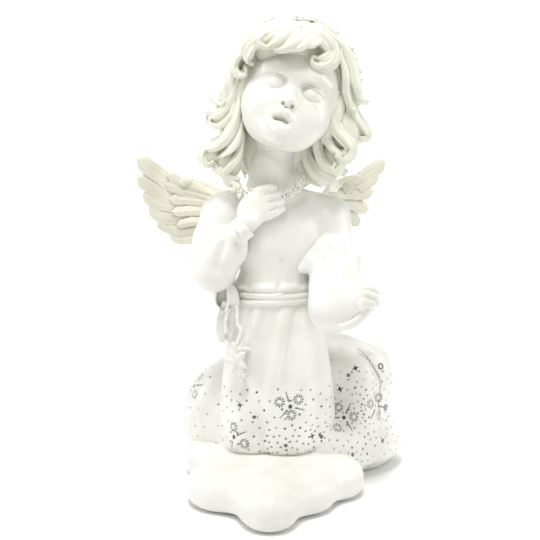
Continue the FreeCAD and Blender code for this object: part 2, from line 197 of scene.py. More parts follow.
class Clay:
    """A block of clay: a distance field on a grid of cubes."""

    def __init__(self, low, high, step):
        self.low, self.step = np.asarray(low, float), step
        self.shape = tuple(int(math.ceil((h - l) / step)) + 1 for l, h in zip(low, high))
        self.field = np.full(self.shape, FAR, np.float32)

    def window(self, low, high):
        spans, lines = [], []
        for axis in range(3):
            first = max(0, int((low[axis] - self.low[axis]) / self.step) - 2)
            last = min(self.shape[axis], int((high[axis] - self.low[axis]) / self.step) + 4)
            last = max(last, first)
            spans.append(slice(first, last))
            line = (self.low[axis] + self.step * np.arange(first, last)).astype(np.float32)
            lines.append(line.reshape([-1 if i == axis else 1 for i in range(3)]))
        return tuple(spans), lines

    def add(self, form, blend=0.0, sign=1):
        spans, lines = self.window(form.low - blend, form.high + blend)
        if all(s.stop > s.start for s in spans):
            self.field[spans] = sign * soft_min(sign * self.field[spans], form.distance(*lines), blend)

    def carve(self, form, blend=0.0):
        self.add(form, blend, -1)

    def clip_below(self, z):
        line = (self.low[2] + self.step * np.arange(self.shape[2])).astype(np.float32)
        self.field = np.maximum(self.field, (z - line)[None, None, :])

    def mesh(self):
        """Points and quads of the clay's surface."""
        grid = openvdb.FloatGrid()
        grid.copyFromArray(self.field)
        points, quads = grid.convertToQuads(0.0)
        return self.low + np.asarray(points, float) * self.step, np.asarray(quads, int)


# ---------------------------------------------------------------- meshes
def neighbour_mean(points, edges):
    total = np.zeros_like(points)
    for axis in range(3):
        total[:, axis] = np.bincount(edges[:, 0], points[edges[:, 1], axis], len(points))
        total[:, axis] += np.bincount(edges[:, 1], points[edges[:, 0], axis], len(points))
    return total / np.maximum(np.bincount(edges.ravel(), minlength=len(points)), 1)[:, None]


def relax(points, quads, rounds, amount=0.5):
    """Evens a mesh: each point moves towards its neighbours' mean and then part of the way back."""
    edges = np.vstack([quads[:, [0, 1]], quads[:, [1, 2]], quads[:, [2, 3]], quads[:, [3, 0]]])
    for k in range(rounds * 2):
        step = amount if k % 2 == 0 else -amount * 1.04
        points = points + step * (neighbour_mean(points, edges) - points)
    return points


def new_object(name, points, faces):
    """A smooth-shaded mesh object from millimetre points."""
    mesh = bpy.data.meshes.new(name)
    mesh.from_pydata((np.asarray(points) * MM).tolist(), [], [list(map(int, f)) for f in faces])
    mesh.validate()
    mesh.polygons.foreach_set("use_smooth", [True] * len(mesh.polygons))
    mesh.update()
    piece = bpy.data.objects.new(name, mesh)
    bpy.context.scene.collection.objects.link(piece)
    return piece


def points_of(piece):
    co = np.zeros(len(piece.data.vertices) * 3)
    piece.data.vertices.foreach_get("co", co)
    return co.reshape(-1, 3) / MM


def normals_of(piece):
    no = np.zeros(len(piece.data.vertices) * 3, np.float32)
    piece.data.vertex_normals.foreach_get("vector", no)
    return no.reshape(-1, 3).astype(float)


def move_points(piece, points):
    piece.data.vertices.foreach_set("co", (points * MM).ravel())
    piece.data.update()


def apply_modifier(piece, kind, **values):
    modifier = piece.modifiers.new(kind, kind)
    for key, value in values.items():
        setattr(modifier, key, value)
    bpy.context.view_layer.update()
    old = piece.data
    mesh = bpy.data.meshes.new_from_object(piece.evaluated_get(bpy.context.evaluated_depsgraph_get()))
    piece.modifiers.clear()
    piece.data = mesh
    bpy.data.meshes.remove(old)
    mesh.name = piece.name
    mesh.polygons.foreach_set("use_smooth", [True] * len(mesh.polygons))


def joined(shells):
    """Points and faces of several shells as one mesh."""
    points, faces, start = [], [], 0
    for shell_points, shell_faces in shells:
        points.append(shell_points)
        faces.extend([[i + start for i in f] for f in shell_faces])
        start += len(shell_points)
    return np.vstack(points), faces


# ---------------------------------------------------------------- swept shells
def ring_faces(levels, around, closed=False):
    """Quads between one ring of points and the next, and from the last to the first when closed."""
    i = np.arange(levels if closed else levels - 1)[:, None]
    k = np.arange(around)[None]
    j, m = (i + 1) % levels, (k + 1) % around
    i, j = i * around, j * around
    return np.stack([i + k, i + m, j + m, j + k], 2).reshape(-1, 4).tolist()


def skin(rings, foot=None, top=None):
    """A closed skin through rings of equal count, with a fan at each end, centred on foot and top."""
    rings = np.asarray(rings)
    levels, around = rings.shape[:2]
    foot = rings[0].mean(0) if foot is None else foot
    top = rings[-1].mean(0) if top is None else top
    k = np.arange(around)
    m = (k + 1) % around
    last, end = levels * around, (levels - 1) * around
    faces = ring_faces(levels, around)
    faces += np.column_stack([np.full(around, last), m, k]).tolist()
    faces += np.column_stack([np.full(around, last + 1), end + k, end + m]).tolist()
    return np.vstack([rings.reshape(-1, 3), [foot], [top]]), faces


def path_frames(path, side):
    """Side and out directions along a path, carried without spin from a first side direction."""
    tangent = unit_rows(np.gradient(path, axis=0))
    sides = np.zeros_like(path)
    s = np.asarray(side, float)
    for i, t in enumerate(tangent):
        s = unit(s - (s @ t) * t)
        sides[i] = s
    return sides, np.cross(tangent, sides)


def sweep(path, half_width, half_depth, side, spin=0.0, around=16, grooves=0, groove_depth=0.0, phase=0.0):
    """A closed tube of oval section. side is its width's direction, and spin turns it along the path."""
    n = len(path)
    s, o = path_frames(path, side)
    a = np.radians(np.broadcast_to(spin, n))[:, None]
    u, v = s * np.cos(a) + o * np.sin(a), -s * np.sin(a) + o * np.cos(a)
    angle = circle(around)
    rim = 1.0 - groove_depth * (0.5 + 0.5 * np.cos(grooves * angle + phase))
    wide = np.outer(np.broadcast_to(half_width, n), np.cos(angle) * rim)[:, :, None] * u[:, None]
    deep = np.outer(np.broadcast_to(half_depth, n), np.sin(angle) * rim)[:, :, None] * v[:, None]
    return skin(path[:, None] + wide + deep, path[0], path[-1])


def taper(count, tip=0.08):
    """Width along a lock: grows to 1 at about a third, then thins to tip."""
    t = np.linspace(0, 1, count)
    rise = 0.55 + 0.45 * smoothstep(0, 0.35, t)
    return rise * (1 - (1 - tip) * smoothstep(0.45, 1.0, t) ** 1.3)


def lock(points, width, depth, side, twist, grooves, seed, **shape):
    """One lock of hair: a grooved, flattened, tapering sweep."""
    count = 26
    scale = taper(count, **shape)
    return sweep(curve(points, count), width * scale, depth * scale, side, np.linspace(0, twist, count), 30,
                 grooves, 0.26, seed)


def oval_shell(centre, radii, turn=None, around=24, rings=14):
    """A closed ellipsoid shell. turn's columns are its own axes."""
    m = np.eye(3) if turn is None else turn
    v = np.linspace(math.pi, 0, rings + 1)[1:-1, None]
    u = circle(around)[None]
    grid = np.stack([np.sin(v) * np.cos(u), np.sin(v) * np.sin(u), np.cos(v) + 0 * u], 2) * radii
    pole = m @ (0, 0, radii[2])
    centre = np.asarray(centre, float)
    return skin(centre + grid @ m.T, centre - pole, centre + pole)


# ---------------------------------------------------------------- marks pressed into a surface
def tangents(n):
    """Two directions across a normal: level where they can be, and up the slope."""
    across = unit(np.cross((0, 0, 1), n)) if abs(n[2]) < 0.95 else np.array([1.0, 0, 0])
    return across, np.cross(n, across)


class Marks:
    """Presses small marks into a dense mesh and remembers how much pigment each point holds."""

    def __init__(self, piece):
        self.piece = piece
        self.points = points_of(piece)
        self.normals = normals_of(piece)
        self.press = np.zeros(len(self.points))
        self.pigment = np.zeros(len(self.points))
        self.placed = []
        self.tree = KDTree(len(self.points))
        for i, p in enumerate(self.points):
            self.tree.insert(tuple(p), i)
        self.tree.balance()

    def near(self, centre, radius):
        found = self.tree.find_range(tuple(centre), radius)
        return np.array([f[1] for f in found], int)

    def nearest(self, place):
        return self.tree.find(tuple(place))[1]

    def local(self, centre_index, radius, turn=0.0):
        """Points near a centre with their place in its tangent plane."""
        c, n = self.points[centre_index], self.normals[centre_index]
        across, up = tangents(n)
        a = math.radians(turn)
        across, up = across * math.cos(a) + up * math.sin(a), up * math.cos(a) - across * math.sin(a)
        index = self.near(c, radius)
        index = index[self.normals[index] @ n > 0.2]
        d = self.points[index] - c
        return index, d @ across, d @ up

    def dent(self, index, amount, depth, tone):
        """Amount runs 0 to 1 per point."""
        self.press[index] = np.maximum(self.press[index], amount * depth)
        self.pigment[index] = np.maximum(self.pigment[index], smoothstep(0.25, 0.6, amount) * tone)

    def dot(self, i, radius, depth=0.4, tone=1.0):
        index, u, v = self.local(i, radius * 1.7)
        r = np.hypot(u, v) / radius
        self.dent(index, 1 - smoothstep(0.55, 1.25, r), depth, tone)

    def plus(self, i, arm, turn, tone=0.9):
        index, u, v = self.local(i, arm * 1.4, turn)
        thin_u = np.abs(u) / (0.16 * arm + 0.22 * (1 - np.clip(np.abs(v) / arm, 0, 1)))
        thin_v = np.abs(v) / (0.16 * arm + 0.22 * (1 - np.clip(np.abs(u) / arm, 0, 1)))
        a = (1 - smoothstep(0.5, 1.4, thin_u)) * (1 - smoothstep(0.85, 1.15, np.abs(v) / arm))
        b = (1 - smoothstep(0.5, 1.4, thin_v)) * (1 - smoothstep(0.85, 1.15, np.abs(u) / arm))
        self.dent(index, np.maximum(a, b), 0.35, tone)

    def flower(self, i, radius, petals=9, turn=0.0, tone=0.6):
        """A ring of drop-shaped presses round a raised button."""
        index, u, v = self.local(i, radius * 1.3, turn)
        r, a = np.hypot(u, v), np.arctan2(v, u)
        wave = 0.5 + 0.5 * np.cos(a * petals)
        ring = 1 - smoothstep(0.2, 0.42, np.abs(r / radius - 0.72))
        self.dent(index, ring * smoothstep(0.3, 0.75, wave), 0.35, tone)
        self.press[index] -= 0.25 * (1 - smoothstep(0.2, 0.48, r / radius))

    def stroke(self, i, turn, start, length, width=0.34, tone=0.8):
        """A straight slit that starts some way from its centre."""
        index, u, v = self.local(i, start + length + 1, turn)
        along = (u - start) / length
        slim = width * (1.15 - 0.75 * np.clip(along, 0, 1))
        inside = (1 - smoothstep(0.5, 1.3, np.abs(v) / slim)) * ((along > 0) & (along < 1))
        self.dent(index, inside, 0.35, tone)

    def ring(self, i, radius, tone=0.6):
        index, u, v = self.local(i, radius * 1.6)
        self.dent(index, 1 - smoothstep(0.2, 0.45, np.abs(np.hypot(u, v) / radius - 0.9)), 0.3, tone)

    def line(self, places, width, depth, tone):
        """A groove through points in space."""
        path = curve(places, 60)
        for p in (self.points[self.nearest(q)] for q in path):
            index = self.near(p, width * 2.2)
            if len(index):
                d = np.linalg.norm(self.points[index] - p, axis=1) / width
                self.dent(index, 1 - smoothstep(0.4, 1.2, d), depth, tone)

    def scatter(self, allowed, spacing, count, radius, tones, depth=0.38):
        """Dots at random places no nearer than spacing to one another. spacing may vary by point."""
        order = RNG.permutation(np.flatnonzero(allowed))
        taken = np.zeros(len(self.points), bool)
        for p, r in self.placed:
            taken[self.near(p, r)] = True
        for i in order:
            if taken[i]:
                continue
            gap = spacing[i] * RNG.uniform(0.85, 1.3)
            taken[self.near(self.points[i], gap)] = True
            self.dot(i, radius * RNG.uniform(0.75, 1.2), depth, RNG.uniform(*tones))
            count -= 1
            if not count:
                break

    def reserve(self, i, radius):
        self.placed.append((self.points[i], radius))

    def press_each(self, at, places, clear, press, *how):
        """The same press at every place, with clear kept free of dots round it."""
        for x, z, *own in places:
            spot = at(x, z)
            press(spot, *own, *how)
            self.reserve(spot, clear)

    def starbursts(self, at, bursts, slit, petal, tone):
        """Starbursts of a dot, slits and small flowers."""
        for x, z, turns, flowers in bursts:
            centre = at(x, z)
            self.dot(centre, 0.95, 0.5, 0.95)
            self.reserve(centre, 2.2)
            for turn in turns:
                self.stroke(centre, turn, 2.0, slit)
            for turn, reach in flowers:
                a = math.radians(turn)
                spot = at(x + reach * math.cos(a), z + reach * math.sin(a))
                self.flower(spot, petal, 10, turn, tone)
                self.reserve(spot, petal + 0.6)

    def finish(self):
        move_points(self.piece, self.points - self.normals * self.press[:, None])
        add_layer(self.piece, "pigment", self.pigment)


def add_layer(piece, name, values):
    layer = piece.data.attributes.new(name, "FLOAT", "POINT")
    layer.data.foreach_set("value", values.astype(np.float32))


def add_cavity(piece, depth, rounds=10):
    """Stores how sunken each point is, 1 at depth, for the painted shade in recesses."""
    points, normals = points_of(piece), normals_of(piece)
    edges = np.zeros(len(piece.data.edges) * 2, int)
    piece.data.edges.foreach_get("vertices", edges)
    mean = points.copy()
    for _ in range(rounds):
        mean = neighbour_mean(mean, edges.reshape(-1, 2))
    add_layer(piece, "cavity", np.clip(((mean - points) * normals).sum(1) / depth, -1, 1))


# ---------------------------------------------------------------- materials
def socket(node, name, value):
    node.inputs[name].default_value = value


PIGMENT = (0.03, 0.03, 0.022)


def resin(name, colour, tone, roughness=0.38, coat=0.25, grain=0.35, painted_shade_share=0.6):
    """Painted cast resin: mottled, darkened in its hollows by painted shade, with pigment in pressed marks
    and a fine grain.
    """
    material = bpy.data.materials.new(name)
    material.use_nodes = True
    nodes, links = material.node_tree.nodes, material.node_tree.links
    shader = nodes["Principled BSDF"]
    socket(shader, "Coat Weight", coat)
    socket(shader, "Coat Roughness", 0.22)
    socket(shader, "Specular IOR Level", 0.45)
    place = nodes.new("ShaderNodeTexCoord")

    def noise(scale, detail=3.0):
        node = nodes.new("ShaderNodeTexNoise")
        socket(node, "Scale", scale)
        socket(node, "Detail", detail)
        links.new(place.outputs["Object"], node.inputs["Vector"])
        return node.outputs["Fac"]

    def ramp(source, *span):
        node = nodes.new("ShaderNodeMapRange")
        for key, value in zip(("From Min", "From Max", "To Min", "To Max"), span):
            socket(node, key, value)
        links.new(source, node.inputs["Value"])
        return node.outputs["Result"]

    def blend(factor, a, b):
        node = nodes.new("ShaderNodeMix")
        node.data_type = "RGBA"
        links.new(factor, node.inputs["Factor"])
        for key, value in (("A", a), ("B", b)):
            target = next(i for i in node.inputs if i.name == key and i.type == "RGBA")
            if isinstance(value, tuple):
                target.default_value = (*value, 1.0)
            else:
                links.new(value, target)
        return next(o for o in node.outputs if o.type == "RGBA")

    def layer(attribute):
        node = nodes.new("ShaderNodeAttribute")
        node.attribute_name = attribute
        return node.outputs["Fac"]

    mottled = blend(ramp(noise(70.0), 0.35, 0.7, 0.0, 0.35), colour, tone)
    # painted shade: the more sunken a point, the more its colour goes to the tone colour
    with_painted_shade = blend(ramp(layer("cavity"), 0.05, 0.9, 0.0, painted_shade_share), mottled, tone)
    inked = blend(layer("pigment"), with_painted_shade, PIGMENT)
    links.new(inked, shader.inputs["Base Color"])
    sheen = ramp(noise(900.0, 2.0), 0.3, 0.7, roughness - 0.06, roughness + 0.08)
    links.new(sheen, shader.inputs["Roughness"])
    bump_node = nodes.new("ShaderNodeBump")
    socket(bump_node, "Strength", grain)
    socket(bump_node, "Distance", 0.00008)
    links.new(noise(2600.0, 4.0), bump_node.inputs["Height"])
    links.new(bump_node.outputs["Normal"], shader.inputs["Normal"])
    return material


def plain_material(name, colour, roughness, **sockets):
    material = bpy.data.materials.new(name)
    material.use_nodes = True
    shader = material.node_tree.nodes["Principled BSDF"]
    socket(shader, "Base Color", (*colour, 1.0))
    socket(shader, "Roughness", roughness)
    for key, value in sockets.items():
        socket(shader, key.replace("_", " "), value)
    return material


# Each finish: a material and its slot.
# The second colour of each resin serves its random mottle and also the painted shade laid in its hollows.
WHITE = resin("gown_resin", (0.91, 0.91, 0.885), (0.62, 0.62, 0.54)), "painted_resin"
SKIN = resin("skin_resin", (0.91, 0.905, 0.87), (0.56, 0.56, 0.47), 0.34, grain=0.15), "painted_skin"
IVORY = resin("hair_resin", (0.87, 0.865, 0.77), (0.46, 0.45, 0.34), 0.42, painted_shade_share=0.85), "ivory_resin"
CREAM = resin("wing_resin", (0.82, 0.80, 0.69), (0.38, 0.35, 0.24), 0.5, 0.1, painted_shade_share=0.9), "wing_resin"
GARLAND = resin("blossom_resin", (0.9, 0.9, 0.87), (0.34, 0.33, 0.28), 0.4, painted_shade_share=0.95), "painted_resin"


def place_piece(piece, finish, node, hollow=0.35):
    """Gives a piece its look and its body, and hides the CAD node it stands for. hollow is a deep recess's
    depth.
    """
    material, slot = finish
    # painted shade: each point's sunkenness, full at hollow, darkens the colour in recesses
    add_cavity(piece, hollow)
    piece.data.materials.append(material)
    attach(piece, "root")
    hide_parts(node)


def sculpt(node, clay, rounds, finish, hollow=0.35):
    """A piece made of clay."""
    points, quads = clay.mesh()
    place_piece(new_object(node + "_cast", relax(points, quads, rounds), quads), finish, node, hollow)


def cast(node, shells, voxel, softness, finish, hollow=0.35, name=None):
    """A piece made of closed shells melted into one skin, as a casting is."""
    piece = new_object(name or node + "_cast", *joined(shells))
    apply_modifier(piece, "REMESH", mode="VOXEL", voxel_size=voxel * MM, use_smooth_shade=True)
    apply_modifier(piece, "SMOOTH", factor=0.5, iterations=softness)
    place_piece(piece, finish, node, hollow)


# ---------------------------------------------------------------- cloud base
# Each lobe of the outline: centre, radius, and how far it runs into the ones before it.
CLOUD_LOBES = [
    (-0.2, -48.6, 9, 7), (-1, -32, 15, 13), (-17.2, -21.5, 17, 7), (12, -27, 14.5, 7), (25.5, -12, 14, 7),
    (-21, 13, 16.5, 7), (25, 17, 18, 7), (-12, 33, 18, 7), (12, 34, 17, 7), (2, 2, 27, 7),
]


def make_cloud():
    """One pillow with a round edge, whose outline runs the lobes together."""
    low, high = FELT_TOP - 0.2, CLOUD_TOP - 0.4
    mid, half = (low + high) / 2, (high - low) / 2

    def distance(x, y, z):
        flat = None
        for x0, y0, r, blend in CLOUD_LOBES:
            d = np.sqrt((x - x0)**2 + (y - y0)**2) - r
            flat = d if flat is None else soft_min(flat, d, blend)
        edge = 6.4 - 2.4 * smoothstep(mid + 2, mid - 3, z)
        rise = 0.5 * smoothstep(0, -16, flat)
        a = flat + edge
        b = np.abs(z - mid - rise) - (half - edge) - rise
        return np.minimum(np.maximum(a, b), 0) + np.sqrt(np.maximum(a, 0)**2 + np.maximum(b, 0)**2) - edge

    clay = Clay(CLOUD_LOW - 4, CLOUD_HIGH + 4, 0.55)
    clay.add(Form(CLOUD_LOW - 3, CLOUD_HIGH + 3, distance))
    clay.clip_below(FELT_TOP)
    sculpt("cloud_base", clay, 3, WHITE)


# ---------------------------------------------------------------- gown below the waist
# The skirt's front: height, centre x and y, half width, half depth.
SKIRT_KEYS = [
    (CLOUD_TOP - 1.5, 3, 7.6, 24.8, 16.2),
    (20, 3.2, 7.3, 25.3, 16.6),
    (30, 3.2, 7, 25.4, 16.9),
    (45, 3, 6.4, 24, 16),
    (60, 2.5, 5.5, 21.8, 14.8),
    (74, 2, 4.6, 18.9, 13.2),
    (86, 1.5, 4, 16.9, 12.2),
]
PATTERN_TOP = 44


SKIRT_CURVE = curve(SKIRT_KEYS, 200).T


def skirt_oval(z):
    """Centre and half sizes of the skirt's front at height z."""
    return [np.interp(z, SKIRT_CURVE[0], column) for column in SKIRT_CURVE[1:]]


# The long folds of the skirt's front. A line is heights and its x at each of them.
MAIN_FOLD = [15, 33, 58, 80], [-3.6, -2.1, 2.9, 7.2]
OUTER_FOLD = [40, 58, 80], [16, 15, 12]
INNER_FOLD = [40, 60, 80], [-12.5, -9, -4.5]
# Each fold: how far it stands out, z where it starts and is full, z where it ends and begins to fade, its
# line, how far beside the line it runs, and its width.
SKIRT_FOLDS = [
    (1.3, 20, 50, 84, 74, MAIN_FOLD, 0, 3),
    (-0.9, 40, 60, 84, 77, MAIN_FOLD, 3.6, 1.5),
    (0.8, 32, 56, 83, 72, OUTER_FOLD, 0, 2.6),
    (0.9, 34, 58, 83, 73, INNER_FOLD, 0, 2.2),
    (-0.5, 50, 66, 84, 76, INNER_FOLD, -3.4, 1.2),
]


def skirt_relief(x, y, z):
    """How far the cloth of the skirt's front stands out, from knees, folds and gathers."""
    front = smoothstep(2, -6, y)
    knees = 2.6 * bump(z, 25, 15) * (bump(x, -12, 8) + bump(x, 8.5, 9) + 0.6 * bump(x, 25, 5))
    valley = -1.5 * smoothstep(60, 18, z) * bump(x, -2.4 + 0.8 * np.sin(0.16 * z), 3)
    valley += -1.3 * smoothstep(48, 16, z) * bump(x, 18.6 - 0.8 * np.sin(0.15 * z), 3)
    folds = 0
    for height, start, full, end, fading, line, beside, width in SKIRT_FOLDS:
        middle = np.interp(z, *line) + beside
        along = smoothstep(start, full, z) * smoothstep(end, fading, z)
        folds = folds + height * along * bump(x, middle, width)
    gathers = 0.1 * smoothstep(68, 78, z) * np.sin(x * 1.3 + 0.7)
    hem = 0.9 * bump(z, CLOUD_TOP + 4.5, 4) - 1.6 * smoothstep(CLOUD_TOP + 3.5, CLOUD_TOP - 1, z)
    sides = 0.4 * smoothstep(30, 60, z) * np.cos(np.arctan2(y - 5, x - 2.5) * 7) * (1 - front)
    return front * (knees + valley + folds + gathers + hem) + sides


def graded(edges, steps):
    """Joins stretches between edges, each cut into pieces of about its step."""
    counts = [max(1, round((b - a) / step)) for a, b, step in zip(edges, edges[1:], steps)]
    parts = [np.arange(a, b, (b - a) / count) for a, b, count in zip(edges, edges[1:], counts)]
    return np.append(np.concatenate(parts), edges[-1])


# Starbursts on the skirt's front: centre x and z, angles of the slits, then angle and reach of the flowers.
STARBURSTS = [
    (8.4, 37.3, (106, 227, -16), ((36, 4.6), (155, 4.7), (-84, 3.8))),
    (-14.2, 22.9, (30, 250), ((96, 4.3), (-28, 4.4))),
]
PLUSES = [(-12.5, 36.9), (18.4, 23.2)]
DISCS = [(-6.5, 32.3, 0.85), (6.6, 20.9, 0.9), (22, 22.4, 0.95)]


def make_skirt():
    front = math.radians(-90)
    angles = front + graded([-math.pi, -1.75, 1.75, math.pi], [0.05, 0.0125, 0.05])[:-1]
    heights = graded([CLOUD_TOP - 1.5, 50, WAIST - 1], [0.27, 0.5])
    rings = []
    for z in heights:
        cx, cy, a, b = skirt_oval(z)
        nx, ny = np.cos(angles), np.sin(angles)
        x, y, level = cx + a * nx, cy + b * ny, np.full_like(nx, z)
        out = skirt_relief(x, y, level)
        length = np.hypot(nx / a, ny / b)
        rings.append(np.column_stack([x + out * nx / a / length, y + out * ny / b / length, level]))
    piece = new_object("skirt_front_cast", *skin(rings))
    marks = Marks(piece)

    def at(x, z):
        cx, cy, a, b = skirt_oval(z)
        return marks.nearest((x, cy - b * math.sqrt(max(0.02, 1 - ((x - cx) / a) ** 2)) - 1, z))

    marks.starbursts(at, STARBURSTS, 4.6, 2.2, 0.85)
    for x, z, turns, _ in STARBURSTS:
        for a in np.radians(turns):
            marks.reserve(at(x + 4.5 * math.cos(a), z + 4.5 * math.sin(a)), 2)
    marks.press_each(at, PLUSES, 1.8, marks.plus, 1.35, 8, 1)
    marks.press_each(at, DISCS, 1.8, marks.dot, 0.35, 0.85)
    x, y, z = marks.points.T
    allowed = (y < 8) & (z > CLOUD_TOP + 1.2) & (z < PATTERN_TOP + 2 * np.sin(x * 0.5))
    spacing = 3.5 - 1.3 * smoothstep(-10, 0, x) * smoothstep(36, 26, z)
    marks.scatter(allowed, spacing, 400, 0.5, (0.45, 1))
    marks.finish()
    place_piece(piece, WHITE, "gown_skirt")


TRAIN_CENTRE = (10.5, 28)
# The spread gown: height, then its reach from the centre at each of TRAIN_ANGLES (0 is the figure's left).
TRAIN_ANGLES = [-180, -163, -150, -125, -100, -80, -66, -52, -38, -26, -14, 0, 20, 45, 70, 90, 110, 135, 160]
TRAIN_REACH = [
    (FELT_TOP, 44.5, 40, 35, 30, 28, 30, 33, 33, 33, 35, 40, 45, 45, 38, 31.5, 29, 31, 37, 43),
    (8, 48.5, 44, 39, 32, 29, 32, 37, 39, 41, 43.5, 47, 50, 47.5, 40, 33, 30.5, 32.5, 39, 46.5),
    (15, 50, 45.5, 40, 32, 30, 33, 36.5, 39, 41, 44, 46.5, 48.5, 46.5, 40, 33.2, 30.7, 33, 39.5, 48),
    (23, 50.2, 45.5, 40, 31.5, 28, 30, 33, 35.5, 37.5, 40.5, 42.5, 44, 44.5, 39.5, 32.8, 30.2, 32.5, 39,
     48),
    (33, 48.5, 44.5, 38, 28, 24, 22, 22.5, 25.5, 32, 38, 41.5, 42.5, 43.5, 38, 31.5, 29, 31.2, 38, 46.5),
    (42, 43, 39.5, 34, 26, 22, 17.5, 17, 20.5, 28.5, 37, 42.5, 44, 42.5, 36, 29.5, 27, 29, 35, 42),
    (48.5, 35, 33, 29, 24, 21, 16, 15.5, 18, 25.5, 34.5, 41, 43, 39.5, 32.5, 26.5, 24.5, 26, 30.5, 35),
    (53.5, 28.5, 27, 25, 22, 20, 15, 14, 16, 23, 31.5, 38.5, 41, 35.5, 27.5, 23, 21.5, 22.5, 25.5, 28.5),
]
# Above the spread the gown draws in to the waist: height, centre x and y, half width, half depth.
TRAIN_NECK = [
    (60, 9.8, 19, 31, 15.5),
    (68, 3.6, 12.5, 20, 13.2),
    (WAIST - 6.5, 2, 6.6, 17.6, 11),
]


def polar_levels(levels, angles):
    """Rings through a polar table, smooth round the turn and up the height, then on up the neck."""
    keys = np.array(TRAIN_ANGLES, float)
    wide = np.concatenate([keys - 360, keys, keys + 360])
    rings = []

    def ring(cx, cy, r, z):
        level = np.full_like(angles, z)
        rings.append(np.column_stack([cx + r * np.cos(angles), cy + r * np.sin(angles), level]))

    for z, *reach in levels:
        fine = curve(np.column_stack([wide, np.tile(reach, 3)]), 900)
        ring(*TRAIN_CENTRE, np.interp(np.degrees(angles), fine[:, 0], fine[:, 1]), z)
    for z, cx, cy, a, b in TRAIN_NECK:
        ring(cx, cy, 1 / np.hypot(np.cos(angles) / a, np.sin(angles) / b), z)
    return np.array(rings)


# The same for the spread gown, with its rings and the seam of its rolled border.
TRAIN_STARBURSTS = [(32.4, 28, (57, 178, -66), ((122, 4.6), (0, 4.2), (-134, 4.4)))]
TRAIN_PLUSES = [(30.9, 39.5), (50, 16.4), (37.6, 48.3)]
TRAIN_RINGS = [(52.4, 28.6), (49.6, 48.2)]
TRAIN_DISCS = [(34.7, 45.4), (35.8, 13.6)]
BORDER_SEAM = [(39, 56.5), (42.9, 52.6), (46.7, 46.8), (48.7, 42.8), (49.1, 38.8), (48.9, 33.5),
               (48.8, 29.2), (49.8, 26)]


def train_rings(angles):
    """The spread gown's rings, with its folds, its hem and its rolled border at the figure's left."""
    keys = polar_levels(TRAIN_REACH, angles)
    steps = np.linalg.norm(np.diff(keys, axis=0), axis=2).max(1)
    stations = np.concatenate([[0], np.cumsum(steps)])
    fine = graded([0, stations[7], stations[-1]], [0.36, 0.8])
    share = np.interp(fine, stations, np.arange(len(keys)))
    rings = curve_at(keys.reshape(len(keys), -1), share).reshape(len(fine), len(angles), 3)
    z = rings[:, :, 2]
    turn = np.broadcast_to(angles, z.shape)
    low = smoothstep(60, 20, z) * smoothstep(0, 8, z)
    folds = 0.9 * np.cos(turn * 11 + 0.8 * np.sin(turn * 3) + 0.03 * z)
    folds = folds * smoothstep(8, 26, z) * smoothstep(80, 50, z)
    back = smoothstep(0.3, 1.2, np.abs(np.sin(turn / 2 + math.pi / 4)) * 1.5)
    hem = 0.9 * np.cos(turn * 17 + np.sin(turn * 5)) * smoothstep(12, 2, z) * smoothstep(-0.5, 2, z)
    out = folds * (0.35 + 0.65 * back) + hem * 0.6 + 0.4 * low
    seam = curve(BORDER_SEAM, 40)
    ahead = smoothstep(-2, -1.2, turn) * smoothstep(0.1, -0.15, turn)
    off = rings[:, :, 0] - np.interp(z, seam[::-1, 1], seam[::-1, 0])
    beside = smoothstep(24, 28, z) * smoothstep(58, 54, z) * ahead
    out = out + beside * (1.5 * bump(off, 3.6, 3) - 1.1 * bump(off, -0.2, 1.2))
    radial = np.stack([np.cos(turn), np.sin(turn), np.zeros_like(turn)], 2)
    return rings + radial * out[:, :, None]


def press_back(marks):
    """Starbursts at random places over the back of the spread gown."""
    p, n = marks.points, marks.normals
    made = []
    for i in RNG.permutation(np.flatnonzero((n[:, 1] > -0.3) & (p[:, 2] > 8) & (p[:, 2] < 38))):
        if any(np.linalg.norm(p[i] - p[j]) <= 19 for j in made):
            continue
        made.append(i)
        marks.dot(i, 0.95, 0.5, 0.95)
        first = RNG.uniform(0, 120)
        for k in range(3):
            marks.stroke(i, first + 120 * k, 2, 5.2)
        marks.reserve(i, 7.2)
        across, up = tangents(n[i])
        for k in range(3):
            t = math.radians(first + 60 + 120 * k)
            spot = marks.nearest(p[i] + 5.2 * (across * math.cos(t) + up * math.sin(t)))
            marks.flower(spot, 2.1, 10, 40 * k, 0.7)


def make_train():
    right, left = math.radians(-20), math.radians(-180)
    angles = graded([left, left + 0.7, left + 1.6, right - 0.8, right + 0.9, math.radians(160), math.pi],
                    [0.0075, 0.02, 0.012, 0.0065, 0.0085, 0.0085])[:-1]
    piece = new_object("gown_spread_cast", *skin(train_rings(angles)))
    marks = Marks(piece)
    p, n = marks.points, marks.normals

    def at(x, z):
        facing = np.flatnonzero((n[:, 1] < -0.15) & (np.abs(p[:, 0] - x) < 3) & (np.abs(p[:, 2] - z) < 3))
        if not len(facing):
            return marks.nearest((x, 10, z))
        off = (p[facing, 0] - x)**2 + (p[facing, 2] - z)**2 + 0.02 * (p[facing, 1] + 60)
        return facing[np.argmin(off)]

    marks.starbursts(at, TRAIN_STARBURSTS, 5, 2.1, 0.8)
    marks.press_each(at, TRAIN_PLUSES, 1.9, marks.plus, 1.4, 20, 1)
    marks.press_each(at, TRAIN_RINGS, 2, marks.ring, 1.25, 0.8)
    marks.press_each(at, TRAIN_DISCS, 1.8, marks.dot, 0.9, 0.35, 0.8)
    seam = [p[at(x, z)] for x, z in BORDER_SEAM]
    marks.line(seam, 0.32, 0.4, 0.6)
    for q in curve(seam, 16):
        marks.placed.append((q, 1.2))
    press_back(marks)
    allowed = (p[:, 2] > 2.5) & (p[:, 2] < PATTERN_TOP + 3)
    dense = bump(p[:, 0], 41, 6) * bump(p[:, 2], 32, 10) * (n[:, 1] < -0.1)
    spacing = 2.9 - 1.4 * dense + 1.6 * smoothstep(-10, -24, p[:, 0])
    marks.scatter(allowed, spacing, 2600, 0.43, (0.3, 1))
    marks.finish()
    place_piece(piece, WHITE, "gown_train")


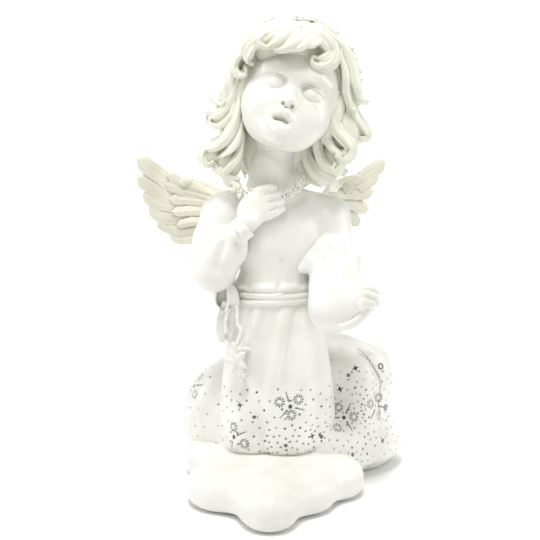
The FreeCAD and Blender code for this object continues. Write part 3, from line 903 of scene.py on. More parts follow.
# ---------------------------------------------------------------- bodice, sash and its ornaments
def hoop(path, half_width, half_depth, side=(0, 0, 1), around=14):
    """A closed ring of oval section along a closed path. side is the direction of its width."""
    path = np.asarray(path, float)
    tangent = unit_rows(np.roll(path, -1, 0) - np.roll(path, 1, 0))
    s = np.broadcast_to(np.asarray(side, float), path.shape)
    s = unit_rows(s - (s * tangent).sum(1, keepdims=True) * tangent)
    o = np.cross(tangent, s)
    angle = circle(around)[None, :, None]
    points = path[:, None] + half_width * np.cos(angle) * s[:, None] + half_depth * np.sin(angle) * o[:, None]
    return points.reshape(-1, 3), ring_faces(len(path), around, closed=True)


def oval_path(centre, a, b, u=(1, 0, 0), v=(0, 1, 0), count=96, wave=0, waves=0, lift=(0, 0, 1), phase=0):
    t = circle(count)
    path = np.asarray(centre, float) + np.outer(a * np.cos(t), u) + np.outer(b * np.sin(t), v)
    return path + np.outer(wave * np.cos(waves * t + phase), lift)


def make_bodice():
    clay = Clay((-34, -18, 79), (39, 29, 135), 0.5)
    # waist, ribs and chest
    clay.add(egg((1.5, 4, 86), (17.2, 12.4, 9)))
    clay.add(egg((3.3, 4, 103), (18.6, 12.8, 16.5)), 6)
    clay.add(egg((5.5, 0.5, 110), (15, 9.8, 10)), 6)
    # shoulders and neck
    clay.add(rod([(-15, 6, 118, 8), (4, 6, 121.5, 8.6), (25, 6.5, 117, 8)], 3), 6)
    clay.add(rod([(0.5, 4.5, 115, 10.5), (0.5, 3.6, 123, 8)], 3), 6)
    # upper arms
    clay.add(rod([(-18, 4.2, 116.2, 9), (-21.6, 1, 106.5, 9)], 2), 5)
    clay.add(rod([(24.6, 6, 115.2, 8), (26.6, 3, 107, 6.8)], 2), 5)
    clay.add(hoop_form((1.6, 4, 87.2), 17.3, 12.6, 1), 2.2)
    # pleats rising from the waist
    for x0, lean, reach in [(-9, -0.2, 10), (3.5, 0.25, 11), (13, 0.6, 11)]:
        path = []
        for k in range(5):
            x = x0 + lean * k
            path.append((x, 4 - 13.1 * math.sqrt(max(0.05, 1 - ((x - 2) / 18.6) ** 2)), 87.6 + reach * k / 4))
        clay.carve(crease(path, 0.25), 2.4)
    beside_arm = [(19.5, -9.5, 119), (18, -11, 112), (15.5, -11.5, 105), (13, -10.5, 97)]
    clay.carve(crease(beside_arm, 1.8), 5)
    clay.clip_below(80)
    sculpt("bodice", clay, 4, WHITE)


def make_sash():
    shells = [hoop(oval_path((1.7, 4, 82.6), 16.8, 12.1), 3.5, 0.7)]
    shells.append(hoop(oval_path((1.7, 4, 83.75), 17.5, 12.8, wave=0.22, waves=3, phase=0.5), 1.15, 1.15))
    shells.append(hoop(oval_path((1.7, 4, 81.15), 17.6, 12.9, wave=0.25, waves=2, phase=2), 1.2, 1.2))
    fold = [(-12.5, -5.6, 84.9), (-7, -8, 84.4), (-1, -8.9, 84.2), (3, -9, 84.6), (6, -8.9, 85.3)]
    shells.append(sweep(curve(fold, 30), 0.75 * np.sin(np.linspace(.3, 2.9, 30)), 0.8, (0, 0, 1), around=12))
    cast("waist_sash", shells, 0.36, 3, WHITE, hollow=0.2)


def make_knot():
    outline = [(-20.8, 77.4), (-23.2, 80.4), (-23.2, 84.4), (-21, 88), (-18.2, 89.4), (-17.4, 86),
               (-17.6, 81.4), (-18.8, 77.8), (-20.8, 77.4)]
    loop = curve([(x, -3.2 - 0.38 * (x + 22), z) for x, z in outline], 61)[:-1]
    shells = [
        hoop(loop, 2.6, 0.62, side=(0.3, -0.95, 0)),
        oval_shell((-20.3, -0.8, 83.2), (2.7, 0.9, 5.6)),
        oval_shell((-16.3, -5.6, 84.4), (1.9, 2, 5.3), rotation((0, 1, 0), -10)),
        oval_shell((-14.8, -5.9, 83.8), (1.9, 2.1, 5), rotation((0, 1, 0), -16)),
    ]
    cast("sash_knot", shells, 0.26, 2, WHITE, hollow=0.2)


def make_tails():
    def ribbon(points, widths, depth, side, spin):
        t = np.linspace(0, 1, 40)
        wide = np.interp(t, np.linspace(0, 1, len(widths)), widths)
        return sweep(curve(points, 40), wide, depth, side, spin * t, 22, 3, 0.3)

    shells = [
        ribbon([(-17.8, -4.2, 81), (-19.6, -3.8, 76), (-20.2, -4, 70), (-20.3, -4.6, 63.4)],
               (2.2, 2.4, 2.7, 2.9, 1.5), 0.85, (0.95, 0.25, 0), 10),
        ribbon([(-16, -4.8, 81), (-16.6, -3.6, 75), (-16.9, -3.4, 69), (-16.9, -3.8, 63.4)],
               (1.9, 2.1, 2.3, 2.3, 1.2), 0.8, (0.95, 0.1, 0), -8),
    ]
    cast("sash_tails", shells, 0.28, 2, WHITE, hollow=0.2)


def make_beads():
    def string(points, count, radius):
        beads = [oval_shell(p, (radius, radius, radius * 1.08), None, 16, 10) for p in evenly(points, count)]
        return [*beads, sweep(curve(points, 30), 0.4, 0.4, (1, 0, 0), around=8)]

    shells = string([(-17.4, -5.8, 78), (-18.6, -5.4, 72.6), (-18.4, -5.4, 68.6)], 8, 0.95)
    shells += string([(-13.8, -7.9, 79), (-13.3, -8.2, 72.2), (-11.9, -9, 69.6), (-13.6, -8.8, 64.2)],
                     12, 0.9)
    cast("bead_string", shells, 0.2, 1, WHITE, hollow=0.15, name="bead_strings_cast")


def star_shell(centre, radius, across, up, depth, turn):
    """A five-pointed star with a raised middle."""
    centre, out = np.asarray(centre), np.cross(across, up)
    rim = []
    for k in range(10):
        a, reach = math.radians(turn + 36 * k), radius * (1 if k % 2 == 0 else 0.5)
        rim.append(centre + reach * (math.cos(a) * across + math.sin(a) * up))
    front = [p + 0.45 * depth * out for p in rim]
    back = [p - 0.5 * depth * out for p in rim]
    faces = []
    for k in range(10):
        m = (k + 1) % 10
        faces += [[k, m, 20], [k, 10 + k, 10 + m, m], [10 + m, 10 + k, 21]]
    return np.array([*front, *back, centre + 1.25 * depth * out, centre - 0.6 * depth * out]), faces


def make_stars():
    across, up = unit((0.96, -0.27, 0)), unit((0, 0.05, 1))
    shells = [
        star_shell((-14.4, -9.6, 57), 6.1, across, up, 1.5, 112),
        star_shell((-12.3, -8.4, 61.6), 4.8, across, up, 1.2, 76),
    ]
    cast("star_charms", shells, 0.2, 2, WHITE, hollow=0.15)


def make_rose():
    centre = np.array([-11.1, -10.3, 50.4])
    shells = [oval_shell(centre, (1.5, 1.3, 2.1))]
    for ring, (count, reach, size) in enumerate([(3, 0.9, 1.2), (5, 1.5, 1.4)]):
        for k in range(count):
            a = math.radians(360 * k / count + 35 * ring)
            spot = centre + reach * np.array([math.cos(a), -0.15 + 0.2 * ring, 1.35 * math.sin(a)])
            turn = rotation((0, 1, 0), -math.degrees(a)) @ rotation((0, 0, 1), 20)
            shells.append(oval_shell(spot, (size * 0.55, size * 0.8, size), turn, 16, 10))
    cast("rose_charm", shells, 0.17, 1, GARLAND, hollow=0.15)


# ---------------------------------------------------------------- sleeves, cuffs and hands
RIGHT_SLEEVE_FOLDS = [
    ([(-19, -16.6, 106.5), (-20.4, -17, 101.5), (-22, -16.4, 96.5)], 1),
    ([(-26.4, -8, 110), (-29.6, -10.2, 103.5), (-31.6, -9.8, 97)], 1),
    ([(-13.6, -15.4, 106), (-14, -15.6, 101), (-16.4, -14.6, 95)], 0.8),
]


def make_right_sleeve():
    clay = Clay((-40, -25, 78), (2, 18, 130), 0.42)
    clay.add(egg((-18, 4.2, 116.4), (10.4, 9.6, 9.6)))
    clay.add(rod([(-6, 6, 121, 7.6), (-16, 5, 118.6, 9)], 2), 4)
    clay.add(rod([(-19.6, 4, 115, 9.8), (-22.4, 1, 105.5, 9.8), (-23.4, -3, 97.5, 9.8)], 3), 4)
    clay.add(egg((-24.2, -4.5, 93.8), (9.5, 10, 8.8), rotation((0, 1, 0), 15)), 3)
    clay.add(rod([(-22.8, -5.5, 98, 9.4), (-17.4, -9.3, 104, 8), (-13.4, -12, 110.2, 5)], 2), 3)
    for path, r in RIGHT_SLEEVE_FOLDS:
        clay.carve(crease(path, r), 4.5)
    sculpt("right_sleeve", clay, 4, WHITE)


LEFT_SLEEVE_RIDGES = [
    ([(20.5, -7.2, 104.6), (24, -9, 101.6), (28.5, -9.4, 99.6), (33, -8, 98.8), (37, -4.5, 99.6)], 1),
    ([(35.8, -5, 96.5), (34.4, -11.5, 92.5), (33.4, -17.5, 88.5)], 1.2),
]
LEFT_SLEEVE_CREASES = [
    ([(21.5, -6.6, 108), (23.2, -8.4, 105), (26.5, -9.2, 103.2), (30.5, -9.6, 101.8),
      (33.5, -9.8, 101.2)], 0.6),
    ([(21.5, -13.5, 98.6), (22, -14.6, 97.6)], 0.7),
]


def make_left_sleeve():
    clay = Clay((2, -36, 62), (50, 18, 130), 0.42)
    clay.add(egg((24.6, 6, 115.4), (8.6, 9, 8.4)))
    clay.add(rod([(12, 6, 118.2, 7.4), (24, 6, 115.8, 8.4)], 2), 3)
    clay.add(rod([(25.8, 5.5, 114, 8), (27.6, 3, 106, 7.4), (28.2, -1, 98.5, 8.6)], 2), 4)
    # forearm and the cloth that hangs under it
    forearm = [(27.2, -3.5, 95, 9.2), (26.8, -9, 88, 10.2), (27.4, -13.5, 83, 10.6), (30.2, -17, 81.2, 8.8)]
    clay.add(rod(forearm, 3), 5)
    clay.add(egg((26, -12.5, 78.4), (9.7, 9.2, 8.3)), 4)
    clay.add(rod([(30, -16.5, 82.5, 8.4), (35, -21.5, 84.4, 6.2)], 2), 3)
    # the fold to the bodice, and the hollows beside it
    clay.add(rod([(22, -3.4, 103, 4.6), (17.4, -5.4, 98.8, 3.4), (13.4, -6.6, 95.6, 2)], 1), 5)
    clay.carve(egg((19.5, -22, 92), (3.4, 5, 5), rotation((0, 0, 1), 20)), 6)
    clay.carve(egg((24.6, -11.4, 104.6), (3.6, 3.2, 3.2)), 5)
    for path, r in LEFT_SLEEVE_RIDGES:
        clay.add(crease(path, r), 4)
    for path, r in LEFT_SLEEVE_CREASES:
        clay.carve(crease(path, r), 2.4)
    sculpt("left_sleeve", clay, 4, WHITE)


def frill(node, centre, axis, radius, depth, flare, waves):
    """A gathered ring of cloth: two wavy collars back to back."""
    axis = unit(axis)
    across = unit(np.cross(axis, (0.3, 1, 0.2)))
    other = np.cross(axis, across)
    t = circle(120)
    shells = []
    for sign, size, phase in ((1, 1, 0), (-1, 0.97, 1.3)):
        middle = np.asarray(centre) + axis * (sign * depth * 0.42)
        wave = np.cos(waves * t + phase)
        path = middle + radius * size * (np.outer(np.cos(t), across) + np.outer(np.sin(t), other))
        path = path + np.outer(0.16 * wave, axis)
        path = path + unit_rows(path - middle) * (0.14 * wave + flare)[:, None]
        shells.append(hoop(path, depth * 0.6, 0.62, side=axis * sign, around=12))
    cast(node, shells, 0.27, 2, WHITE)


def make_cuffs():
    frill("right_cuff", (-11.2, -12.9, 112.4), (0.78, 0.02, 0.62), 4.4, 2.2, 0.15, 7)
    along, across = unit((0.76, -0.12, 0.64)), unit((0.42, -0.74, -0.52))
    lip = oval_path((33.6, -22, 79.6), 7.6, 4.4, along, across, count=90)
    cast("left_cuff", [hoop(lip, 2.3, 1.7, side=unit((-0.5, -0.66, 0.56)), around=18)], 0.3, 3, WHITE)


def make_right_hand():
    clay = Clay((-18, -18, 106), (10, -2, 134), 0.26)
    clay.add(rod([(-12, -12.6, 111.5, 3.8), (-8, -11.8, 115.6, 4)], 1))
    clay.add(egg((-7.4, -10.9, 120.4), (5.6, 3.1, 7.6), rotation((0, 1, 0), 30)), 2.4)
    clay.add(egg((-3, -11.2, 119.4), (7.4, 2.6, 3.8), rotation((0, 1, 0), -32)), 2)
    clay.add(egg((-2.2, -11, 123.2), (4.4, 2.3, 6.8), rotation((0, 1, 0), -24)), 2)
    fingers = [
        [(-4.4, -10.6, 127.6, 2.1), (-0.4, -10.8, 128.8, 1.9), (1.4, -10.2, 129, 1.6)],
        [(-3, -11.2, 124, 2), (1.2, -11.6, 125.6, 1.95), (3.4, -10.9, 126.4, 1.6)],
        [(-2, -11.6, 120.8, 2), (2.2, -12, 122.6, 1.95), (4.6, -11.2, 123.6, 1.55)],
        [(-1.6, -11.4, 117.6, 2), (2.4, -11.8, 119.4, 1.8), (4.8, -11.1, 120.6, 1.45)],
    ]
    for finger in fingers:
        clay.add(rod(finger, 0.3), 0.7)
    for low, high in zip(fingers, fingers[1:]):
        middle = [(np.array(a[:3]) + np.array(b[:3])) / 2 + (0, -1.7, 0) for a, b in zip(low, high)]
        start = 0.55 * middle[0] + 0.45 * middle[1]
        clay.carve(rod([(*start, 0.3), (*middle[1], 0.7), (*middle[2], 0.5)]), 0.6)
    sculpt("right_hand", clay, 2, SKIN)


def make_left_hand():
    """A loose fist, palm up, its fingers stacked and curling back at the figure's left."""
    clay = Clay((22, -36, 70), (48, -12, 97), 0.26)
    clay.add(rod([(30.5, -17.5, 82.5, 4.4), (35, -22, 84.5, 4.4)], 1))
    clay.add(egg((36.6, -24.2, 85.8), (5.2, 4.6, 4.9)), 2)
    fingers = [
        (0.5, (33.5, -22.4, 88.2, 1.8), (37.8, -26.8, 90.2, 1.6), (41, -26, 89.6, 1.45),
         (42.6, -24, 87.6, 1.3)),
        (0.3, (33.5, -23, 85.8, 1.9), (38.2, -28, 88, 1.75), (41.6, -27.4, 86.8, 1.6),
         (42.6, -25.6, 84, 1.4)),
        (0.3, (33.5, -23.4, 82.8, 2.2), (37.4, -27.8, 85.2, 2.3), (40.1, -27.4, 84.4, 2.1),
         (40.6, -25.8, 82.6, 1.8)),
        (0.8, (33.5, -23, 80.8, 1.7), (37.2, -26.2, 82.2, 1.5)),
    ]
    for blend, *finger in fingers:
        clay.add(rod(finger, 0.4), blend)
    lower_gap = [(38, -29.8, 87.4), (40.8, -29.4, 86.2), (42.2, -28.2, 84.4), (42.2, -27, 82.6)]
    upper_gap = [(38.6, -29, 89.6), (41.4, -28.2, 88.6), (43.6, -26.4, 87)]
    clay.carve(crease(lower_gap, 0.4), 0.4)
    clay.carve(crease(upper_gap, 0.35), 0.4)
    sculpt("left_hand", clay, 2, SKIN)


# ---------------------------------------------------------------- head
HEAD_PLACE = np.array([7.2, -3, 162.2])
HEAD_SCALE = 1.08
HEAD_RIGHT = unit((0.940, -0.018, -0.341))
HEAD_FRONT = unit((0.049, -0.972, 0.229))
HEAD_UP = np.cross(HEAD_FRONT, HEAD_RIGHT)
HEAD_TURN = np.column_stack([HEAD_RIGHT, -HEAD_FRONT, HEAD_UP])


def on_head(x, y, z):
    """A place in the head's own frame (x to its left, -y forward, z up) carried to the figurine's."""
    return HEAD_PLACE + HEAD_SCALE * (HEAD_TURN @ np.array([x, y, z], float))


def head_egg(x, y, z, radii, turn=None):
    own = HEAD_TURN if turn is None else HEAD_TURN @ turn
    return egg(on_head(x, y, z), np.array(radii) * HEAD_SCALE, own)


def head_rod(points, blend=0):
    return rod([(*on_head(*p[:3]), p[3] * HEAD_SCALE) for p in points], blend)


EYE_TURN = 14


def lid(centre, radii, side, corner, arch):
    """The part of an egg above an arched edge, which is corner above the middle and arch more in front."""
    whole = head_egg(*centre, radii, rotation((0, 1, 0), side * EYE_TURN))
    middle = on_head(*centre)
    tilt = math.radians(EYE_TURN)
    up = math.cos(tilt) * HEAD_UP + side * math.sin(tilt) * HEAD_RIGHT
    forward = unit(HEAD_FRONT + 0.35 * side * HEAD_RIGHT)

    def distance(x, y, z):
        off = (x - middle[0], y - middle[1], z - middle[2])
        ahead = sum(o * f for o, f in zip(off, forward)) / (radii[1] * HEAD_SCALE)
        above = sum(o * u for o, u in zip(off, up))
        edge = HEAD_SCALE * (corner + arch * np.clip(ahead, 0, 1))
        return np.maximum(whole.distance(x, y, z), edge - above)

    return Form(whole.low, whole.high, distance)


def make_head():
    clay = Clay((-19, -33, 113), (34, 24, 190), 0.3)
    # skull, face and brow
    clay.add(head_egg(0, 1.5, 4, (18.4, 19.2, 19.2)))
    clay.add(head_egg(0, -3.5, -2.6, (15.9, 15.2, 14.6)), 6)
    clay.add(head_egg(0, -7.6, 8.5, (14.2, 10.6, 11)), 6)
    for side in (-1, 1):
        # cheek, jaw and ear
        clay.add(head_egg(side * 8.8, -10.6, -6, (7.1, 6.9, 7)), 5)
        clay.add(head_egg(side * 5.4, -7.5, -12.2, (6.4, 7, 5)), 5)
        clay.add(head_egg(side * 18.2, 0.5, -1.5, (2, 3.4, 4.6), rotation((0, 0, 1), side * 20)), 1.5)
    # chin and the mound of the mouth
    clay.add(head_egg(0, -13.4, -15.2, (4.7, 4.2, 3.2)), 3.5)
    clay.add(head_egg(0, -14.6, -11.2, (6.6, 4.4, 5.4)), 4)
    neck = [(-0.3, 4.6, 117, 12.6), (-0.5, 4.4, 124, 10), (1, 3.2, 136, 8.7), (3.2, 2, 150, 8.8)]
    clay.add(rod(neck, 4), 3.5)
    clay.clip_below(116)

    for side in (-1, 1):
        def eye(*points):
            return [(side * x + 0.2, y, z - 1.2, *r) for x, y, z, *r in points]

        turn = rotation((0, 1, 0), side * EYE_TURN)
        socket_at, ball_at = eye((7.1, -19.2, 3.4), (7.1, -13.2, 3.2))
        # brow, socket, upper lid, eyeball and the ring of the iris
        clay.add(head_rod(eye((4, -16.4, 9.4, 0.6), (8, -16.8, 10.2, 0.7), (12, -14.8, 8.8, 0.5))), 4.5)
        clay.carve(head_egg(*socket_at, (5.2, 3.6, 3.3), turn), 0.8)
        clay.add(lid(ball_at, (5.9, 5.1, 4.9), side, 0.4, 2.1), 0.3)
        clay.add(head_egg(*ball_at, (5.4, 4.6, 4.2), turn), 0.12)
        iris = [(6.8 + 1.9 * math.cos(t), -17.75 + 0.3 * abs(math.cos(t)), 3 + 1.9 * math.sin(t), 0.14)
                for t in np.linspace(0, 2 * math.pi, 15)]
        clay.carve(head_rod(eye(*iris)), 0.35)

    # bridge and tip of the nose
    clay.add(head_rod([(0.4, -15.4, 1.8, 1.4), (0.4, -16.4, -0.8, 1.4), (0.4, -17.8, -2.9, 1.4)], 1), 4)
    clay.add(head_egg(0.4, -19.8, -3.5, (1.7, 1.9, 1.5)), 1.5)
    for side in (-1, 1):
        # nostril, and the hollow beside the mouth
        clay.add(head_egg(0.4 + side * 1.8, -18.3, -4.1, (1.1, 1.4, 1)), 1)
        clay.carve(head_egg(0.4 + side * 1.7, -19.4, -5, (0.65, 1.3, 0.7)), 0.3)
        clay.carve(head_egg(side * 7.8, -20.6, -13.6, (3, 2.8, 4.4), rotation((0, 1, 0), side * 20)), 2.5)
    # the groove above the lips, then the lips and the gap between them
    clay.carve(head_rod([(0, -19.4, -6.2, 0.35), (0, -19.6, -8.2, 0.55)]), 1.2)
    upper_lip = [(-4.8, -16.4, -10.8, 0.5), (-3, -18.2, -9, 1.3), (-1.1, -19.2, -8.2, 1.6),
                 (0, -19.3, -8.4, 1.5), (1.1, -19.2, -8.2, 1.6), (3, -18.2, -9, 1.3),
                 (4.8, -16.4, -10.8, 0.5)]
    clay.add(head_rod(upper_lip, 0.5), 1)
    lower_lip = [(-4.2, -16.8, -11.8, 0.5), (-2.6, -18.7, -13.6, 1.4), (0, -19.4, -14.4, 1.8),
                 (2.6, -18.7, -13.6, 1.4), (4.2, -16.8, -11.8, 0.5)]
    clay.add(head_rod(lower_lip, 0.6), 0.7)
    clay.carve(head_egg(0, -20.6, -11, (3.5, 4, 1.4)), 0.4)
    clay.add(head_egg(0, -18.6, -12.7, (3, 1.9, 1.2)), 0.5)
    under_lip = [on_head(-3.2, -18.2, -17.3), on_head(0, -19.2, -17.8), on_head(3.2, -18.2, -17.3)]
    clay.carve(crease(under_lip, 0.9 * HEAD_SCALE, 18), 2)
    sculpt("head", clay, 2, SKIN, hollow=0.25)


# ---------------------------------------------------------------- hair
HAIR_HEART = on_head(0, 4, 6)


def tress(points, width, seed, twist, strands=2, **shape):
    """A lock with thinner strands laid along its edges."""
    p = np.asarray(points, float)
    outward = unit(p[0] - HAIR_HEART)
    side = unit(np.cross(unit(p[1] - p[0]), outward))
    shells = [lock(p, width, width * 0.62, side, twist, 5, seed, **shape)]
    for k in range(strands):
        sign = 1 if k % 2 == 0 else -1
        wander = np.linspace(0.5, 0.95, len(p))[:, None]
        q = p + (side * sign * width * 0.72 + outward * 0.2 * width) * wander
        q[-1] = q[-1] + RNG.uniform(-0.8, 0.8, 3)
        if len(q) > 4:
            q = q[:len(q) - k % 2]
        shells.append(lock(q, width * 0.48, width * 0.42, side, -twist, 3, seed + k, **shape))
    return shells


# Each lock: width, twist, then the points it runs through.
FRINGE = [
    (3, 25, [(3, -15, 191), (-3, -19, 188.5), (-7, -18.5, 185), (-9, -15, 180.5), (-6.5, -13.5, 178)]),
    (2.6, 20, [(1, -16, 192), (-4, -20, 188), (-5.5, -21, 185.5), (-2, -22, 184)]),
    (3.2, 15, [(9, -14, 192.5), (5, -20.5, 189), (1.5, -22.5, 185.5), (-2.5, -21.5, 183.8)]),
    (3.2, 15, [(12, -14, 192), (9, -21, 187.5), (5.5, -23.4, 184), (1.5, -23.2, 182.8)]),
    (3, 15, [(15, -14, 191.5), (13.5, -20.5, 187.5), (10.5, -22.8, 184.5), (6.5, -23.4, 183)]),
    (2.7, 20, [(17, -13.5, 191), (17.5, -18.5, 188), (15.5, -21.5, 185.5), (11.5, -22.6, 184.6)]),
    (2.9, 30, [(13, -14, 193), (18, -17.8, 189.5), (22, -17, 186), (25.5, -13, 181.5), (25, -13.5, 178)]),
    (2.6, 60, [(20, -13, 190.5), (25, -13.5, 185), (24.5, -16, 179.5), (20.5, -18.2, 177),
               (17, -18.8, 178.5), (17.5, -18.6, 180.8)]),
    (2, 40, [(23, -14, 187), (23.5, -16.5, 182), (20.5, -18.4, 179.6), (18.6, -18.9, 180.2)]),
]
RIGHT_LOCKS = [
    (2.3, 50, [(-6, -12.5, 186), (-9.5, -12.5, 183.5), (-12.5, -12, 181.5), (-14.2, -11.5, 177.5),
               (-12.5, -12.5, 173.8), (-9.5, -13, 174.5), (-9.6, -13.2, 177.2)]),
    (2.9, 40, [(-9.5, -8, 186), (-13.5, -8, 180), (-15.6, -8, 172), (-16.2, -7, 166), (-19.5, -6, 162.6),
               (-23.8, -5, 164.6)]),
    (2.4, -40, [(-13, -9, 176), (-14.6, -9, 167), (-18, -7.5, 160.5), (-22.5, -6, 157.8),
                (-25.6, -5.5, 160)]),
    (2.3, 50, [(-13.5, -9, 168), (-16, -8.5, 158.5), (-20.5, -7, 154), (-24.4, -6, 154.8),
               (-24.6, -6.5, 157.2)]),
    (3, 30, [(-12.5, -9.5, 166), (-14.2, -9.6, 157), (-17.5, -9, 149.5), (-22.5, -7.5, 145.2),
             (-26.8, -6, 144.8)]),
    (2.4, 60, [(-15.5, -6, 154), (-20.5, -5, 148), (-26, -5, 145.5), (-28, -6, 141.5), (-25.8, -7.5, 138),
               (-22.8, -8, 139.5)]),
    (2.6, 30, [(-11.5, -8, 158), (-13.2, -9, 149.5), (-16, -9.5, 144.5), (-20, -9, 141.5)]),
    (2.4, 40, [(-11, -6, 151), (-12.6, -7.5, 143), (-15, -9, 138.5), (-18.5, -10, 135.5),
               (-20.5, -10, 137)]),
    (2.7, 35, [(-16, -1, 150), (-21, -2, 142.5), (-22.2, -4, 137), (-17.5, -7, 134), (-12.2, -9, 132.6)]),
    (2, 50, [(-20, 0, 141), (-18.5, -3, 134.5), (-14.2, -7, 131.2), (-13.2, -8.6, 129.2),
             (-16, -8.6, 127.8)]),
]
LEFT_LOCKS = [
    (3, 30, [(24, -6, 190), (30, -6, 184.5), (33.2, -6, 177), (34.5, -6, 170.5), (36.5, -4.5, 165),
             (40.2, -3, 163.8)]),
    (2.7, -35, [(28, -8, 184), (30.5, -8.5, 175), (30.8, -8.2, 167.5), (32.5, -7.5, 162), (34.5, -7, 160)]),
    (3.2, 35, [(29, -4, 177), (32, -4, 166), (34.6, -4, 158), (38.6, -3, 152.4), (40, -2.5, 149.5),
               (37, -3, 148.2)]),
    (2.9, 30, [(27.5, -9, 168), (25.5, -10, 159.5), (27, -9.5, 152.5), (31.5, -8, 148), (33.4, -7, 143.5),
               (30.8, -8, 140), (27, -9, 141)]),
    (2.4, -30, [(24.5, -8, 160), (23, -8.5, 151), (25, -8.5, 145.5), (28.5, -8, 142.5), (29.8, -8, 138.6)]),
    (2.5, 30, [(20.5, -5, 156), (19.6, -6.5, 147.5), (21.2, -7.5, 140.5), (25.2, -8, 136.8),
               (27.6, -8.2, 138.6)]),
    (2.6, 30, [(14.5, 0, 146), (16.8, -2.5, 138.5), (21.2, -5, 133.2), (25.4, -6.5, 131.2),
               (25.6, -7.8, 127.2)]),
    (2.2, 30, [(12, 2, 145), (13.2, 0, 137.5), (17.4, -2.5, 132.6), (22.2, -4.5, 129.4)]),
    (2.6, 25, [(22, 2, 152), (25, 0, 143), (28.5, -2, 136.5), (32, -3.5, 134.8)]),
]


# The bulk behind the locks.
RIGHT_MASS = [((-16, -2.5, 163), (5.4, 5.5, 9)), ((-21, -5.2, 159.5), (3, 2, 2.4)),
              ((-15.5, -3, 149.5), (5.4, 5.5, 9)), ((-23.6, -6, 141.8), (2.8, 1.8, 2.8)),
              ((-17, -4, 139), (5.4, 4.5, 7)), ((-16.6, -5.5, 132.6), (3.2, 2.6, 3.8))]
LEFT_MASS = [((31.5, -1, 168), (5.6, 6, 11.5)), ((31, -3, 152), (6.8, 5.8, 10)),
             ((25.5, -3, 140), (6.2, 5.2, 8)), ((37, -3.4, 151), (2.6, 1.8, 2.6)),
             ((30.2, -8, 142.4), (2.6, 1.8, 2.4))]


def fall(theta, low, width, seed, start=66, lift=1):
    """A long lock over the back of the head, waving down and flicking out at its tip."""
    s = np.linspace(0, 1, 10)
    rise = np.radians(start * (1 - smoothstep(0, 0.42, s)))
    drop = smoothstep(0.36, 1, s) ** 0.8
    z = 171 + 26.2 * lift * np.sin(rise) - drop * (171 - low)
    ring = np.cos(rise) * (1 - 0.10 * bump(drop, 0.65, 0.3) + 0.10 * smoothstep(0.8, 1, drop)) * lift
    wide = 24.6 * (0.94 + 0.06 * smoothstep(140, 168, z))
    deep = 16.6 + 5.6 * smoothstep(138, 172, z)
    a = np.radians(theta + 7 * np.sin(2 * math.pi * 1.35 * s + seed) * smoothstep(0.25, 0.7, s))
    x = 9.5 - 5 * smoothstep(178, 138, z) + ring * wide * np.cos(a)
    y = 4.5 + ring * deep * np.sin(a)
    hook = smoothstep(0.86, 1, s)
    z = z + 3.4 * hook
    sway = math.copysign(1, math.sin(seed * 5))
    x, y = x - 2.2 * hook * np.sin(a) * sway, y + 2.2 * hook * np.cos(a) * sway
    return tress(np.column_stack([x, y, z]), width, seed, 35 * sway)


def cast_hair(node, locks, bulk=()):
    shells = [oval_shell(*oval) for oval in bulk]
    for k, (width, twist, points) in enumerate(locks):
        shells += tress(points, width * 1.3, 0.9 * k, twist, tip=0.42)
    cast(node, shells, 0.3, 2, IVORY)


def make_hair():
    top = on_head(0, 4.5, 8)
    shells = [
        oval_shell(top, np.array([22, 18.6, 23.4]) * HEAD_SCALE, HEAD_TURN, 48, 30),
        oval_shell((6, 8.5, 150), (21.5, 11, 24), None, 40, 24),
        oval_shell((8, 8.5, 140), (20, 8, 10), None, 40, 24),
        oval_shell((9.5, -9, 184.5), (13, 9, 8.5), HEAD_TURN),
        oval_shell((9, -5, 187.5), (14, 9, 8.5), HEAD_TURN),
        oval_shell((2, -10, 186), (10, 8, 8.5), HEAD_TURN),
        oval_shell(on_head(-17.6, -1, 2), (4.2, 8.5, 13), HEAD_TURN),
        oval_shell(on_head(17.6, -1, 2), (4.2, 8.5, 13), HEAD_TURN),
    ]
    # long falls, and shorter ones over them
    for k, theta in enumerate(np.linspace(-18, 198, 15)):
        low = 133 + 5 * math.sin(k * 1.7) + 8 * abs(math.cos(math.radians(theta))) ** 3
        shells += fall(theta, low, 3.5, 1.3 * k)
    for k, theta in enumerate(np.linspace(-8, 188, 12)):
        shells += fall(theta, 152 + 4 * math.sin(k * 2.3), 3, 0.7 + 1.9 * k, start=74, lift=1.055)
    # locks from the top towards the fringe
    for k, theta in enumerate(np.linspace(-150, -30, 9)):
        a = math.radians(theta)
        points = [on_head(21 * math.sin(u) * math.cos(a), 4.5 + 20.5 * math.sin(u) * math.sin(a),
                          8 + 25 * math.cos(u)) for u in np.radians([4, 20, 36, 52])]
        shells += tress(points, 3.2, 0.5 * k, 10, strands=1)
    # ends behind the neck
    for k, theta in enumerate(np.linspace(-25, 205, 13)):
        a = math.radians(theta)
        low = 131 + 2.2 * math.sin(k * 2.1)
        points = [(8 + reach * 20 * math.cos(a), 8.5 + reach * 8.6 * math.sin(a), z)
                  for z, reach in ((157, 0.95), (148, 1), (139, 1.02), (low, 0.88))]
        shells += tress(points, 3.2, 0.4 * k, 12, strands=1)
    cast("hair_cap", shells, 0.4, 2, IVORY)
    cast_hair("hair_fringe", FRINGE)
    cast_hair("right_curls", RIGHT_LOCKS, RIGHT_MASS)
    cast_hair("left_curls", LEFT_LOCKS, LEFT_MASS)


